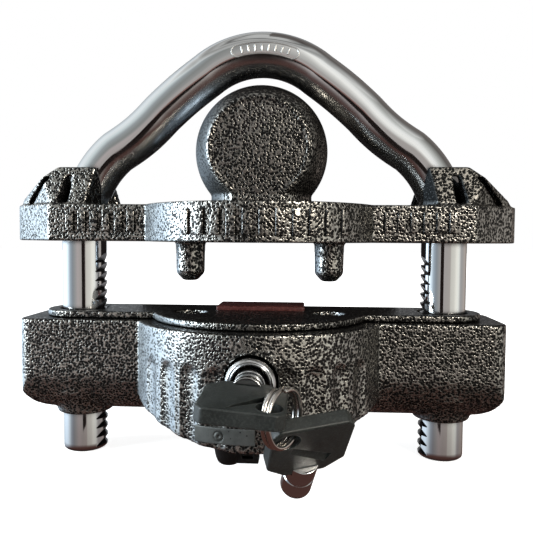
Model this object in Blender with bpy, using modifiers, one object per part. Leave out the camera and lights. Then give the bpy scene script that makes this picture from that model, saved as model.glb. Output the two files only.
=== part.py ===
"""Trailer coupler lock: a toothed shackle, a cast ball bracket that rides on its legs, and a cast base
that holds a tubular key lock with two pawls.  One key stands at the lock, a second hangs from its ring.

Metres, +Z up.  The origin is on top of the raised pad of the base, midway between the shackle's legs,
which stand at +X (right) and -X (left).  The keyway faces -Y, the front.
"""

import math

import bmesh
import bpy
from mathutils import Matrix, Vector

MM = 0.001
SIDES = ((1, "right"), (-1, "left"))

# ---- driving dimensions, in millimetres -------------------------------------------------------------
LEG_X = 65.8            # half the distance between the leg axes
LEG_R = 7.94            # shackle bar radius, a 5/8 in bar
LEG_BOTTOM = -54.0
LEG_TOP = 29.0          # where the lower bend starts
BEND_R = 35.0           # lower bend, bar centreline
SLOPE = math.radians(39.5)  # straight above the lower bend, from the vertical's complement
CROWN_R = 31.4          # crown bend, bar centreline
CROWN_Z = 90.5          # crown, bar centreline
PITCH = 3.4             # ratchet tooth pitch
TOOTH = 2.2             # ratchet tooth depth
TEETH = 21
TEETH_BELOW = 9         # teeth below the one at the pawl
TOOTH_Z0 = -22.1        # flat of the tooth level with the pawl

COVER_BOTTOM, COVER_TOP = -3.7, -1.5
COVER_R, COVER_END_R = 38.9, 13.0
BAR_TOP, BAR_BOTTOM = -4.0, -38.2
BAR_HALF, BAR_Y = 84.7, 16.0            # half length and half depth of the base's bar
BULGE_R, BULGE_BOTTOM = 44.2, -40.0
BULGE_ARC = 95.0                        # radius of the bulge's underside
BORE_R = 8.45                           # holes for the legs
CAVITY_X, CAVITY_Y, CAVITY_FLOOR = 36.0, 8.0, -33.0
STOP_NEAR, STOP_FAR = 17.5, 19.5        # x of the spring stops' faces
FLUTES = (-50.0, -38.0, -26.0, -14.0, 14.0, 26.0, 38.0, 50.0)   # degrees from the front
FLUTE_R, FLUTE_DEPTH, FLUTE_Z = 9.0, 1.0, -17.5
SCREWS = ((24.0, -24.0), (-24.0, -24.0), (31.0, 10.6), (-31.0, 10.6))   # cover screws (x, y)
SCREW_HOLE_R = 1.85

BRACKET_Z0, BRACKET_Z1 = 23.3, 36.0     # bottom and top of the flat plate
TOWER_TOP = 49.3
BRACKET_HALF, BRACKET_R = 90.6, 42.0
BALL_R, BALL_Z, BALL_FLAT = 23.8, 55.4, 15.8
PIN_X, PIN_Y, PIN_R, PIN_LEN = 24.4, -9.0, 5.15, 13.6   # pins under the bracket
PIN_HOLE_R = 5.8

LOCK_Z = -18.4
SHELL_R, SHELL_BORE = 7.7, 5.15
SHELL_FRONT, SHELL_BACK = -46.4, -27.0
BUSH_FRONT, BUSH_BACK = -35.6, -27.4
BUSHING_PIN_Y = -31.0
PLUG_FRONT, PLUG_BACK = -40.7, -36.0
PLUG_R = 4.9            # of both the plug and the bushing
PIN_CIRCLE, PIN_COUNT = 3.9, 7
PIN_BORE_R, LOCK_PIN_R = 0.62, 0.42
RETAINER = (-7.9, -30.5)                # axis of the lock's retaining pin (x, y)
SPINDLE_BACK = -9.0
CAM_FRONT, CAM_BACK = -8.7, -5.7
CAM_R = 2.4             # cam pin circle
CAM_PIN = CAM_R * math.sin(math.radians(45.0))  # x and z of a cam pin from the lock's axis
PAWL_TRAVEL = CAM_R * math.sqrt(2.0)
PAWL_INNER = 34.0       # inner end of a pawl's body
PAWL_GAP = 0.35         # from the lock's axis to a pawl's tail or a spring stop

HEAD_T, HEAD_Y = 5.6, -54.0     # key head thickness, and y where key 1's head starts
RING_HOLE = (7.1, -19.0)        # in the head's own frame
TUBE_R = 4.75                   # a 3/8 in tube
KEY_TILT = math.radians(5.0)    # key 1's turn about its own axis
RING_R, WIRE_R = 7.5, 0.68
RING_STEP = 1.55                # advance of the ring per turn
RING_CENTRE = Vector((10.2, -67.5, -21.6))
UP = Vector((0, 0, 1))
RING_ACROSS = Vector((0.480, 0.877, 0.0)).normalized()  # level direction in the ring's plane
RING_AXIS = RING_ACROSS.cross(UP)

UPRIGHT = (0, 0, 0)
TO_Y = (math.radians(-90), 0, 0)   # a shape made along +Z then points along +Y
TO_X = (0, math.radians(90), 0)    # likewise along +X

# ---- scene and materials ----------------------------------------------------------------------------
for old in list(bpy.data.objects):
    bpy.data.objects.remove(old, do_unlink=True)

PARTS = bpy.data.collections.new("trailer_coupler_lock")
TOOLS = bpy.data.collections.new("cutters")
for collection in (PARTS, TOOLS):
    bpy.context.scene.collection.children.link(collection)


def material(name, rgb, roughness, metallic):
    made = bpy.data.materials.new(name)
    made.use_nodes = True
    shader = made.node_tree.nodes["Principled BSDF"]
    shader.inputs["Base Color"].default_value = (*rgb, 1.0)
    shader.inputs["Roughness"].default_value = roughness
    shader.inputs["Metallic"].default_value = metallic
    made.diffuse_color = (*rgb, 1.0)
    return made


MATERIALS = {made.name: made for made in (
    material("hammertone", rgb=(0.05, 0.052, 0.055), roughness=0.35, metallic=0.6),
    material("chrome", rgb=(0.78, 0.80, 0.82), roughness=0.08, metallic=1.0),
    material("steel", rgb=(0.55, 0.56, 0.58), roughness=0.30, metallic=1.0),
    material("brass", rgb=(0.72, 0.54, 0.24), roughness=0.30, metallic=1.0),
    material("zinc", rgb=(0.62, 0.62, 0.60), roughness=0.40, metallic=1.0),
    material("spring", rgb=(0.45, 0.46, 0.48), roughness=0.35, metallic=1.0),
    material("plastic", rgb=(0.020, 0.024, 0.023), roughness=0.45, metallic=0.0),
)}


# ---- objects and parents ----------------------------------------------------------------------------
def place(obj, location, rotation=UPRIGHT):
    obj.location = [c * MM for c in location]
    obj.rotation_euler = rotation
    return obj


def add(name, mesh, tool, location, rotation):
    """A finished piece, or a tool: an unrendered operand of the booleans."""
    obj = bpy.data.objects.new(name, mesh)
    (TOOLS if tool else PARTS).objects.link(obj)
    if tool:
        obj.hide_render = True
        obj.display_type = "WIRE"
    return place(obj, location, rotation)


def hub(name, location):
    """An empty that carries the pieces that turn or move together."""
    empty = bpy.data.objects.new(name, None)
    PARTS.objects.link(empty)
    empty.empty_display_size = 0.01
    return place(empty, location)


def carry(parent, *objects):
    """Parent the objects without moving them."""
    bpy.context.view_layer.update()
    for obj in objects:
        world = obj.matrix_world.copy()
        obj.parent = parent
        obj.matrix_parent_inverse = parent.matrix_world.inverted()
        obj.matrix_world = world


def finish(obj, look, angle=32.0):
    """Give the object its material, and smooth shading with sharp edges above the angle."""
    obj.data.materials.append(MATERIALS[look])
    obj.data.shade_smooth()
    obj.data.set_sharp_from_angle(angle=math.radians(angle))
    return obj


# ---- tool solids ------------------------------------------------------------------------------------
def tool_from_bmesh(name, bm, location=(0, 0, 0), rotation=UPRIGHT):
    bmesh.ops.scale(bm, vec=(MM, MM, MM), verts=bm.verts)
    bmesh.ops.recalc_face_normals(bm, faces=bm.faces)
    mesh = bpy.data.meshes.new(name)
    bm.to_mesh(mesh)
    bm.free()
    return add(name, mesh, True, location, rotation)


def box(name, low, high):
    """A box between two corners; its object stands at its centre."""
    bm = bmesh.new()
    bmesh.ops.create_cube(bm, size=1.0)
    bmesh.ops.scale(bm, vec=[h - l for l, h in zip(low, high)], verts=bm.verts)
    return tool_from_bmesh(name, bm, [(l + h) / 2 for l, h in zip(low, high)])


def rod(name, radius, length, centre, rotation=UPRIGHT, sides=24, radius_top=None):
    bm = bmesh.new()
    bmesh.ops.create_cone(bm, cap_ends=True, segments=sides, radius1=radius,
                          radius2=radius if radius_top is None else radius_top, depth=length)
    return tool_from_bmesh(name, bm, centre, rotation)


def hull(name, points):
    """The convex solid round a set of points."""
    bm = bmesh.new()
    for point in points:
        bm.verts.new(point)
    bmesh.ops.convex_hull(bm, input=bm.verts)
    return tool_from_bmesh(name, bm)


# ---- turned, flat and wire solids -------------------------------------------------------------------
def turned(name, profile, centre, rotation=TO_Y, steps=24, tool=False):
    """A profile of (radius, height) points turned about its Z axis.  It is closed into a loop
    unless it starts on the axis."""
    mesh = bpy.data.meshes.new(name)
    last = len(profile) - 1
    edges = [(i, i + 1) for i in range(last)]
    if profile[0][0] > 1e-6:
        edges.append((last, 0))
    mesh.from_pydata([(r * MM, 0.0, z * MM) for r, z in profile], edges, [])
    obj = add(name, mesh, tool, centre, rotation)
    screw = obj.modifiers.new("turn", "SCREW")
    screw.axis = "Z"
    screw.steps = screw.render_steps = steps
    screw.use_merge_vertices = True
    screw.merge_threshold = 1e-6
    return obj


def curve_mesh(name, curve, tool, location, rotation):
    """The curve as a welded mesh object."""
    holder = bpy.data.objects.new(name + "_curve", curve)
    bpy.context.scene.collection.objects.link(holder)
    bpy.context.view_layer.update()
    graph = bpy.context.evaluated_depsgraph_get()
    mesh = bpy.data.meshes.new_from_object(holder.evaluated_get(graph))
    mesh.name = name
    bm = bmesh.new()
    bm.from_mesh(mesh)
    bmesh.ops.remove_doubles(bm, verts=bm.verts, dist=1e-6)
    if curve.dimensions == "2D":
        bmesh.ops.dissolve_limit(bm, angle_limit=math.radians(0.5), verts=bm.verts, edges=bm.edges)
    bmesh.ops.recalc_face_normals(bm, faces=bm.faces)
    bm.to_mesh(mesh)
    bm.free()
    bpy.data.objects.remove(holder, do_unlink=True)
    return add(name, mesh, tool, location, rotation)


def add_spline(curve, points):
    spline = curve.splines.new("POLY")
    spline.points.add(len(points) - 1)
    for target, (x, y, z) in zip(spline.points, points):
        target.co = (x * MM, y * MM, z * MM, 1)
    return spline


PLATE_ROTATION = {"X": (math.radians(90), 0, math.radians(90)),
                  "Y": (math.radians(90), 0, 0),
                  "Z": UPRIGHT}


def plate(name, outline, low, high, axis="Z", tool=True):
    """A flat outline between two places on an axis.  The outline is (x, y) for axis Z, (x, z) for
    axis Y and (y, z) for axis X."""
    curve = bpy.data.curves.new(name, "CURVE")
    curve.dimensions = "2D"
    curve.fill_mode = "BOTH"
    curve.extrude = (high - low) / 2 * MM
    add_spline(curve, [(x, y, 0) for x, y in outline]).use_cyclic_u = True
    location = [0, 0, 0]
    location["XYZ".index(axis)] = (low + high) / 2
    return curve_mesh(name, curve, tool, location, PLATE_ROTATION[axis])


def wire(name, points, radius, resolution, location=(0, 0, 0), rotation=UPRIGHT):
    curve = bpy.data.curves.new(name, "CURVE")
    curve.dimensions = "3D"
    curve.bevel_depth = radius * MM
    curve.bevel_resolution = resolution
    curve.use_fill_caps = True
    curve.twist_mode = "MINIMUM"
    add_spline(curve, points)
    return curve_mesh(name, curve, False, location, rotation)


# ---- modifiers --------------------------------------------------------------------------------------
def boolean(obj, operation, others):
    for other in others:
        modifier = obj.modifiers.new(operation.lower(), "BOOLEAN")
        modifier.object = other
        modifier.operation = operation
        modifier.solver = "EXACT"
    return obj


def cut(obj, *others):
    return boolean(obj, "DIFFERENCE", others)


def join(obj, *others):
    return boolean(obj, "UNION", others)


def common(obj, *others):
    return boolean(obj, "INTERSECT", others)


def chamfer(obj, width):
    bevel = obj.modifiers.new("edge", "BEVEL")
    bevel.width = width * MM
    bevel.segments = 1
    bevel.limit_method = "ANGLE"
    bevel.angle_limit = math.radians(60)


# ---- point lists ------------------------------------------------------------------------------------
def arc(cx, cy, r, start, end, count):
    """Points on an arc, degrees, both ends included."""
    angles = [math.radians(start + (end - start) * i / count) for i in range(count + 1)]
    return [(cx + r * math.cos(a), cy + r * math.sin(a)) for a in angles]


def front_arc(r, angles):
    """Points (x, y) round the origin at angles in degrees from -Y towards +X."""
    return [(r * math.sin(math.radians(a)), -r * math.cos(math.radians(a))) for a in angles]


def on_side(side, points):
    """Points given for the +X side, in 2D or 3D, moved to the side asked for."""
    return [(side * x, *rest) for x, *rest in points]


def full(half_points):
    """A +X half outline, completed by its mirror image."""
    return half_points + [(-x, y) for x, y in reversed(half_points) if x > 1e-6]


def coil(radius, length, turns, per_turn):
    """A helix along +Z from the origin."""
    count = turns * per_turn
    angles = [2 * math.pi * i / per_turn for i in range(count + 1)]
    return [(radius * math.cos(a), radius * math.sin(a), length * i / count)
            for i, a in enumerate(angles)]


# ---- shackle ----------------------------------------------------------------------------------------
def shackle_half():
    """Right half (x, z) of the centreline, foot to crown: leg, lower bend, straight, crown bend."""
    bend_steps, crown_steps = 9, 7
    turn = math.pi / 2 - SLOPE
    bend_x = LEG_X - BEND_R
    crown_centre = CROWN_Z - CROWN_R
    points = [(LEG_X, LEG_BOTTOM), (LEG_X, LEG_TOP)]
    for i in range(1, bend_steps + 1):
        a = turn * i / bend_steps
        points.append((bend_x + BEND_R * math.cos(a), LEG_TOP + BEND_R * math.sin(a)))
    for i in range(crown_steps + 1):
        a = turn + SLOPE * i / crown_steps
        points.append((CROWN_R * math.cos(a), crown_centre + CROWN_R * math.sin(a)))
    return points


def tooth_outline():
    """Sawtooth (x, z) on the inner face of the right leg: each tooth a level flat, then a slope."""
    face = LEG_X - LEG_R
    clear, overlap = face - 4.0, face - 0.02
    points = [(clear, TOOTH_Z0 - TEETH_BELOW * PITCH)]
    for k in range(-TEETH_BELOW, TEETH - TEETH_BELOW):
        z = TOOTH_Z0 + k * PITCH
        points += [(overlap, z), (face + TOOTH, z)]
    top = TOOTH_Z0 + (TEETH - TEETH_BELOW) * PITCH
    return points + [(overlap, top), (clear, top)]


def make_shackle():
    half = shackle_half()
    path = [(x, 0, z) for x, z in half] + [(-x, 0, z) for x, z in reversed(half[:-1])]
    shackle = wire("shackle", path, LEG_R, 8)
    for side, label in SIDES:
        cut(shackle, plate("teeth_" + label, on_side(side, tooth_outline()), -9.0, 9.0, axis="Y"))
        tip = rod("foot_chamfer_" + label, LEG_R + 3.0, 4.0, (side * LEG_X, 0, LEG_BOTTOM - 0.6))
        cut(tip, rod("foot_cone_" + label, LEG_R - 1.2, 3.0, (side * LEG_X, 0, LEG_BOTTOM + 1.1),
                     radius_top=LEG_R + 1.8))
        cut(shackle, tip)
    finish(shackle, "chrome", 40)


# ---- ball bracket -----------------------------------------------------------------------------------
def bracket_plan(inset=0.0):
    """Right half of the bracket's plan, from the front middle round to the back."""
    front, back, end = -17.0 + inset, 15.0 - inset, BRACKET_HALF - inset
    r = BRACKET_R - inset
    meet = math.degrees(math.acos(-front / r))
    points = front_arc(r, [meet * i / 10 for i in range(11)])
    points += [(72.5 - inset * 0.3, front + 0.15), (88.0 - inset, -4.5), (end, 0.0)]
    return points + [(end, back - 5.0), (end - 5.0, back)]


# Right tower from the front (x, z).
TOWER_FRONT = [(89.4, 33.0), (89.4, 36.1), (72.4, 48.5), (71.2, TOWER_TOP), (58.0, TOWER_TOP),
               (54.6, 36.0), (53.8, 33.0)]
# Space in front of the tower's sloping front (y, z).
TOWER_LEAN = [(-15.9, 36.0), (-10.9, TOWER_TOP), (-10.6, 50.5), (-30.0, 50.5), (-30.0, 36.0)]
# Corners (x, y, z) of the slanted cut off the tower's inner front end.
TOWER_INNER_END = [(62.7, -20.0, 36.1), (59.6, -13.2, 50.2), (55.9, -8.5, 36.1), (55.9, -8.5, 50.2),
                   (48.0, -20.0, 36.1), (48.0, -20.0, 50.2), (48.0, -8.5, 36.1), (48.0, -8.5, 50.2)]
# Cut off the tower's inner back end (x, z).
TOWER_BACK_END = [(48.0, 36.1), (55.4, 36.1), (60.0, 50.2), (48.0, 50.2)]
# Side of the leg slot (x, z), sloping on its inner side.
SLOT_RAMP = [(40, 20), (53.4, 30.5), (49.6, 38), (46.0, 46), (44.0, 60), (90, 60), (90, 20)]
# Opening in the tower's front (x, z).
WINDOW = [(66.3, 36.8), (70.0, 36.8), (67.6, 46.0), (65.6, 46.0)]
# Corners (x, y, z) of the groove in the tower's front, outside the window.
GROOVE = [(82.0, -5.9, 36.3), (84.4, -4.2, 36.3), (82.0, -16.0, 36.3), (84.4, -16.0, 36.3),
          (73.4, -9.7, 45.8), (74.8, -9.0, 45.8), (73.4, -20.0, 45.8), (74.8, -20.0, 45.8)]


def make_tower(side, label):
    tower = plate("tower_" + label, on_side(side, TOWER_FRONT), -15.8, 13.0, axis="Y")
    common(tower, plate("tower_plan_" + label, full(bracket_plan(1.2)), 28.0, 56.0))
    low, high = sorted((side * 45.0, side * 95.0))
    back_end = [(x, y, z) for x, z in TOWER_BACK_END for y in (6.0, 20.0)]
    return cut(tower,
               plate("tower_lean_" + label, TOWER_LEAN, low, high, axis="X"),
               hull("tower_end_" + label, on_side(side, TOWER_INNER_END)),
               hull("tower_back_end_" + label, on_side(side, back_end)))


def make_ball():
    """The ball on its foot, flat at the front, and the fillet round the foot."""
    bm = bmesh.new()
    bmesh.ops.create_uvsphere(bm, u_segments=40, v_segments=20, radius=BALL_R)
    body = tool_from_bmesh("ball_body", bm, (0, 0, BALL_Z))
    join(body, rod("ball_foot", 18.15, 5.0, (0, 0, 37.6), sides=40))
    cut(body, box("ball_front", (-30, -40, 20), (30, -BALL_FLAT, 90)))
    fillet = rod("ball_fillet", 19.6, 2.4, (0, 0, 36.6), sides=40, radius_top=18.0)
    cut(fillet, box("fillet_front", (-30, -40, 30), (30, -BALL_FLAT - 0.3, 40)))
    return body, fillet


def bracket_pin(side, label):
    profile = [(0, 4.0), (PIN_R, 4.0), (PIN_R, -PIN_LEN + 2.9), (2.2, -PIN_LEN), (0, -PIN_LEN)]
    return turned("pin_" + label, profile, (side * PIN_X, PIN_Y, BRACKET_Z0), UPRIGHT,
                  steps=20, tool=True)


def leg_hole(side, label):
    """The leg's hole, stretched inwards."""
    stretch = 3.2
    outline = arc(LEG_X, 0, BORE_R, -90, 90, 14) + arc(LEG_X - stretch, 0, BORE_R, 90, 270, 14)
    return plate("leg_hole_" + label, on_side(side, outline), 20.0, 37.0)


def leg_slot(side, label):
    """The slot for the leaning bar above the hole."""
    inner_x, r = 45.7, BORE_R + 0.2
    outline = arc(LEG_X, 0, r, -90, 90, 12) + [(inner_x, r), (inner_x, -r)]
    slot = plate("leg_slot_" + label, on_side(side, outline), 31.0, 56.0)
    return common(slot, plate("leg_ramp_" + label, on_side(side, SLOT_RAMP), -20, 20, axis="Y"))


def make_bracket():
    bracket = plate("ball_bracket", full(bracket_plan()), BRACKET_Z0, BRACKET_Z1, tool=False)
    for side, label in SIDES:
        join(bracket, make_tower(side, label))
    join(bracket, *make_ball())
    for side, label in SIDES:
        join(bracket, bracket_pin(side, label))
        cut(bracket,
            leg_hole(side, label),
            leg_slot(side, label),
            plate("window_" + label, on_side(side, WINDOW), -18.0, -6.0, axis="Y"),
            hull("groove_" + label, on_side(side, GROOVE)))
    finish(bracket, "hammertone", 38)


# ---- base housing -----------------------------------------------------------------------------------
def make_bar():
    """The long bar: its plan, narrowed by its front view and its side view."""
    corner_r, end_r, under_r, back_r = 5.0, 12.5, 15.5, 5.0
    above = 4.0
    corner_x, corner_y = BAR_HALF - corner_r, BAR_Y - corner_r
    plan = [(0.0, -BAR_Y)] + arc(corner_x, -corner_y, corner_r, -90, 0, 4)
    plan += arc(corner_x, corner_y, corner_r, 0, 90, 4) + [(0.0, BAR_Y)]
    bar = plate("base_housing", full(plan), BAR_BOTTOM, BAR_TOP, tool=False)
    front = [(0.0, BAR_BOTTOM)] + arc(BAR_HALF - end_r, BAR_BOTTOM + end_r, end_r, -90, 0, 5)
    front += [(BAR_HALF, above), (0.0, above)]
    common(bar, plate("bar_front_view", full(front), -30, 30, axis="Y"))
    side_view = arc(-BAR_Y + under_r, BAR_BOTTOM + under_r, under_r, 180, 270, 5)
    side_view += arc(BAR_Y - back_r, BAR_BOTTOM + back_r, back_r, -90, 0, 3)
    side_view += [(BAR_Y, above), (-BAR_Y, above)]
    return common(bar, plate("bar_side_view", side_view, -100, 100, axis="X"))


def flute(number, angle):
    """A round-topped column that cuts one flute; a sphere with its lower half drawn down."""
    column_bottom, tiny = -40.0, 1e-4
    bm = bmesh.new()
    bmesh.ops.create_uvsphere(bm, u_segments=32, v_segments=16, radius=FLUTE_R)
    for vert in bm.verts:
        if vert.co.z < -tiny:
            vert.co.z = column_bottom
            if vert.co.xy.length > tiny:
                vert.co.xy = vert.co.xy.normalized() * FLUTE_R
    bmesh.ops.remove_doubles(bm, verts=bm.verts, dist=tiny)
    bmesh.ops.dissolve_degenerate(bm, dist=tiny, edges=bm.edges)
    [(x, y)] = front_arc(BULGE_R - FLUTE_DEPTH + FLUTE_R, [angle])
    return tool_from_bmesh("flute_%d" % number, bm, (x, y, FLUTE_Z))


def make_bulge():
    """The round, fluted front of the housing, its underside arched up towards the sides."""
    back = 14.5
    plan = front_arc(BULGE_R, [7.0 * i for i in range(14)]) + [(BULGE_R - 3.0, back), (0.0, back)]
    bulge = plate("bulge", full(plan), BULGE_BOTTOM, BAR_TOP)
    under = [(x, BULGE_BOTTOM + BULGE_ARC - math.sqrt(BULGE_ARC ** 2 - x * x))
             for x in [6.0 * i for i in range(9)]]
    front = full(under + [(48.0, 4.0), (0.0, 4.0)])
    common(bulge, plate("bulge_front_view", front, -60, 40, axis="Y"))
    return cut(bulge, *[flute(k, angle) for k, angle in enumerate(FLUTES)])


def make_housing():
    housing = join(make_bar(), make_bulge())
    for side, label in SIDES:
        join(housing, rod("boss_" + label, 9.2, 8.0, (side * LEG_X, 0, -35.6), sides=32,
                          radius_top=13.4))
    boss = [(0, -36.0), (5.4, -36.0), (4.2, -45.6), (3.0, -47.4), (0, -47.4)]
    join(housing,
         turned("pin_boss", boss, (*RETAINER, 0), UPRIGHT, steps=20, tool=True),
         box("pin_boss_rib", (-5.0, -33.5, -46.7), (1.8, -27.5, -36.0)))

    channel_x, channel_y, channel_z = 60.0, 4.6, 5.6
    cut(housing,
        box("cavity", (-CAVITY_X, -CAVITY_Y, CAVITY_FLOOR), (CAVITY_X, CAVITY_Y, 2.0)),
        box("pawl_channel", (-channel_x, -channel_y, LOCK_Z - channel_z),
            (channel_x, channel_y, LOCK_Z + channel_z)))
    for side, label in SIDES:
        cut(housing,
            rod("leg_bore_" + label, BORE_R, 60.0, (side * LEG_X, 0, -20), sides=32),
            rod("pin_hole_" + label, PIN_HOLE_R, 24.0, (side * PIN_X, PIN_Y, -6.0)))
    cut(housing,
        rod("lock_bore", 8.25, 48.0, on_lock(-30.0), TO_Y, sides=32),
        rod("retaining_pin_hole", 1.75, 40.0, (*RETAINER, -32.0), sides=16))

    # the stops run into the cavity's walls; the left one stands below the lock's axis
    stop_y = CAVITY_Y + 1.0
    join(housing,
         box("spring_stop_left", (-STOP_FAR, -stop_y, CAVITY_FLOOR - 1.0),
             (-STOP_NEAR, stop_y, LOCK_Z - PAWL_GAP)),
         box("spring_stop_right", (STOP_NEAR, -stop_y, LOCK_Z + PAWL_GAP),
             (STOP_FAR, stop_y, LOCK_Z + 6.0)))
    for k, (x, y) in enumerate(SCREWS):
        cut(housing,
            rod("screw_hole_%d" % k, SCREW_HOLE_R, 50.0, (x, y, -20.0), sides=16),
            rod("screw_seat_%d" % k, 3.5, 14.0, (x, y, -38.0), sides=16))
    finish(housing, "hammertone", 34)


# ---- base cover -------------------------------------------------------------------------------------
def make_cover():
    meet = math.degrees(math.acos((COVER_END_R + 0.1) / COVER_R))
    plan = front_arc(COVER_R, [meet * i / 12 for i in range(13)])
    plan += arc(LEG_X, 0, COVER_END_R, -90, 90, 12) + [(0.0, COVER_END_R)]
    cover = plate("base_cover", full(plan), COVER_BOTTOM, COVER_TOP, tool=False)
    chamfer(cover, 0.5)
    join(cover, box("seat_pad", (-16.0, -4.0, -2.5), (16.0, 12.4, 0.0)))
    for side, label in SIDES:
        cut(cover,
            rod("cover_leg_" + label, 8.8, 12.0, (side * LEG_X, 0, -3), sides=32),
            rod("cover_pin_" + label, PIN_HOLE_R, 12.0, (side * PIN_X, PIN_Y, -3)))
    for k, (x, y) in enumerate(SCREWS):
        cut(cover, rod("cover_screw_hole_%d" % k, SCREW_HOLE_R, 3.0, (x, y, COVER_BOTTOM),
                       sides=16))
    finish(cover, "hammertone", 38)


def make_cover_screws():
    """Screws with their heads at the bottom, each head with a round socket."""
    profile = [(0, -2.6), (1.5, -2.6), (1.5, -31.3), (3.1, -31.3), (3.1, -33.6), (1.3, -33.6),
               (1.3, -32.4), (0, -32.4)]
    for k, (x, y) in enumerate(SCREWS, 1):
        finish(turned("cover_screw_%d" % k, profile, (x, y, 0), UPRIGHT, steps=16), "zinc")


# ---- lock -------------------------------------------------------------------------------------------
# Profiles turned about the lock's axis, or along it, are (radius, y).
def on_lock(y):
    """The point on the lock's axis at the given y."""
    return (0.0, y, LOCK_Z)


def pin_places():
    """The (x, z) of the lock's pins, on a circle round its axis."""
    angles = [math.radians(360.0 * k / PIN_COUNT + 90.0 + 180.0 / PIN_COUNT)
              for k in range(PIN_COUNT)]
    return [(PIN_CIRCLE * math.cos(a), LOCK_Z + PIN_CIRCLE * math.sin(a)) for a in angles]


def cylinder_profile(radius, back, front):
    return [(0, back), (radius, back), (radius, front), (0, front)]


def make_shell():
    profile = [(SHELL_R, SHELL_BACK), (SHELL_R, SHELL_FRONT + 0.9), (SHELL_R - 0.9, SHELL_FRONT),
               (SHELL_BORE + 0.7, SHELL_FRONT + 0.25), (SHELL_BORE, SHELL_FRONT + 1.3),
               (SHELL_BORE, SHELL_BACK)]
    shell = turned("lock_shell", profile, on_lock(0), steps=32)
    cut(shell,
        rod("shell_pin_notch", 1.9, 40.0, (*RETAINER, LOCK_Z), sides=16),
        rod("shell_bushing_pin_hole", 0.95, 6.0, (0, BUSHING_PIN_Y, LOCK_Z + 7.0), sides=12))
    finish(shell, "chrome")


def make_bushing():
    bore = 2.9
    profile = [(PLUG_R, BUSH_BACK), (PLUG_R, BUSH_FRONT), (bore, BUSH_FRONT), (bore, BUSH_BACK)]
    bushing = turned("lock_bushing", profile, on_lock(0), steps=28)
    for k, (x, z) in enumerate(pin_places()):
        cut(bushing, rod("driver_hole_%d" % k, PIN_BORE_R, 8.0, (x, BUSH_FRONT + 3.2, z), TO_Y,
                         sides=8))
    cut(bushing, rod("bushing_cross_hole", 0.8, 2.0, (0, BUSHING_PIN_Y, LOCK_Z + 4.9), sides=12))
    finish(bushing, "brass")


def make_fixed_pins():
    finish(turned("bushing_pin", cylinder_profile(0.65, 3.4, 0.0),
                  (0, BUSHING_PIN_Y, LOCK_Z + 4.2), UPRIGHT, steps=10), "steel")
    finish(turned("lock_retaining_pin", cylinder_profile(1.45, -12.6, -46.6),
                  (*RETAINER, 0), UPRIGHT, steps=14), "steel")


def make_driver_pins():
    """The pins in the bushing, each with a spring behind it."""
    profile = cylinder_profile(LOCK_PIN_R, BUSH_FRONT + 2.3, BUSH_FRONT + 0.15)
    spring = coil(radius=0.30, length=3.6, turns=4, per_turn=6)
    for k, (x, z) in enumerate(pin_places(), 1):
        finish(turned("driver_pin_%d" % k, profile, (x, 0, z), steps=8), "steel")
        finish(wire("pin_spring_%d" % k, spring, 0.10, 0, (x, BUSH_FRONT + 2.6, z), TO_Y), "spring")


def make_plug():
    nose_r, nose_front = 2.7, -45.9
    profile = [(0, PLUG_BACK), (PLUG_R, PLUG_BACK), (PLUG_R, PLUG_FRONT), (nose_r, PLUG_FRONT),
               (nose_r, nose_front + 0.5), (nose_r - 0.5, nose_front), (0, nose_front)]
    plug = turned("lock_plug", profile, on_lock(0), steps=28)
    for k, (x, z) in enumerate(pin_places()):
        cut(plug, rod("key_hole_%d" % k, PIN_BORE_R, 8.0, (x, -38.4, z), TO_Y, sides=8))
    cut(plug, rod("plug_socket", 1.7, 4.0, on_lock(PLUG_BACK), TO_Y, sides=12))
    return finish(plug, "steel")


def make_key_pins():
    back = PLUG_BACK - 0.1
    profile = [(0, back), (LOCK_PIN_R, back), (LOCK_PIN_R, PLUG_FRONT + 0.1), (0.2, PLUG_FRONT),
               (0, PLUG_FRONT)]
    return [finish(turned("key_pin_%d" % k, profile, (x, 0, z), steps=8), "brass")
            for k, (x, z) in enumerate(pin_places(), 1)]


def make_spindle():
    profile = [(0, SPINDLE_BACK), (2.6, SPINDLE_BACK), (2.6, -35.7), (1.4, -35.7), (1.4, -37.7),
               (0, -37.7)]
    spindle = turned("lock_spindle", profile, on_lock(0), steps=16)
    cut(spindle, rod("spindle_tap", 0.95, 8.0, on_lock(SPINDLE_BACK), TO_Y, sides=12))
    return finish(spindle, "steel")


def make_cam():
    """The cam disc, its two pins and the screw that holds it to the spindle."""
    outer, bore = 5.4, 1.0
    disc = turned("cam_disc", [(outer, CAM_BACK), (outer, CAM_FRONT), (bore, CAM_FRONT),
                               (bore, CAM_BACK)], on_lock(0))
    pieces = [finish(disc, "steel")]
    for name, sign in (("cam_pin_top", 1), ("cam_pin_bottom", -1)):
        x, z = sign * CAM_PIN, LOCK_Z + sign * CAM_PIN
        cut(disc, rod(name + "_hole", 1.0, 10.0, (x, (CAM_FRONT + CAM_BACK) / 2, z), TO_Y,
                      sides=12))
        pieces.append(finish(turned(name, cylinder_profile(0.85, 3.2, -8.6), (x, 0, z), steps=12),
                             "steel"))
    screw = [(0, -3.7), (1.1, -3.7), (1.5, -4.2), (1.5, -5.5), (0.7, -5.5), (0.7, -12.0),
             (0, -12.0)]
    pieces.append(finish(turned("cam_screw", screw, on_lock(0), steps=12), "zinc"))
    return pieces


def make_lock():
    make_shell()
    make_bushing()
    make_fixed_pins()
    make_driver_pins()
    axis = hub("lock_axis", on_lock(-40.0))
    carry(axis, make_plug(), make_spindle(), *make_key_pins(), *make_cam())


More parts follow.
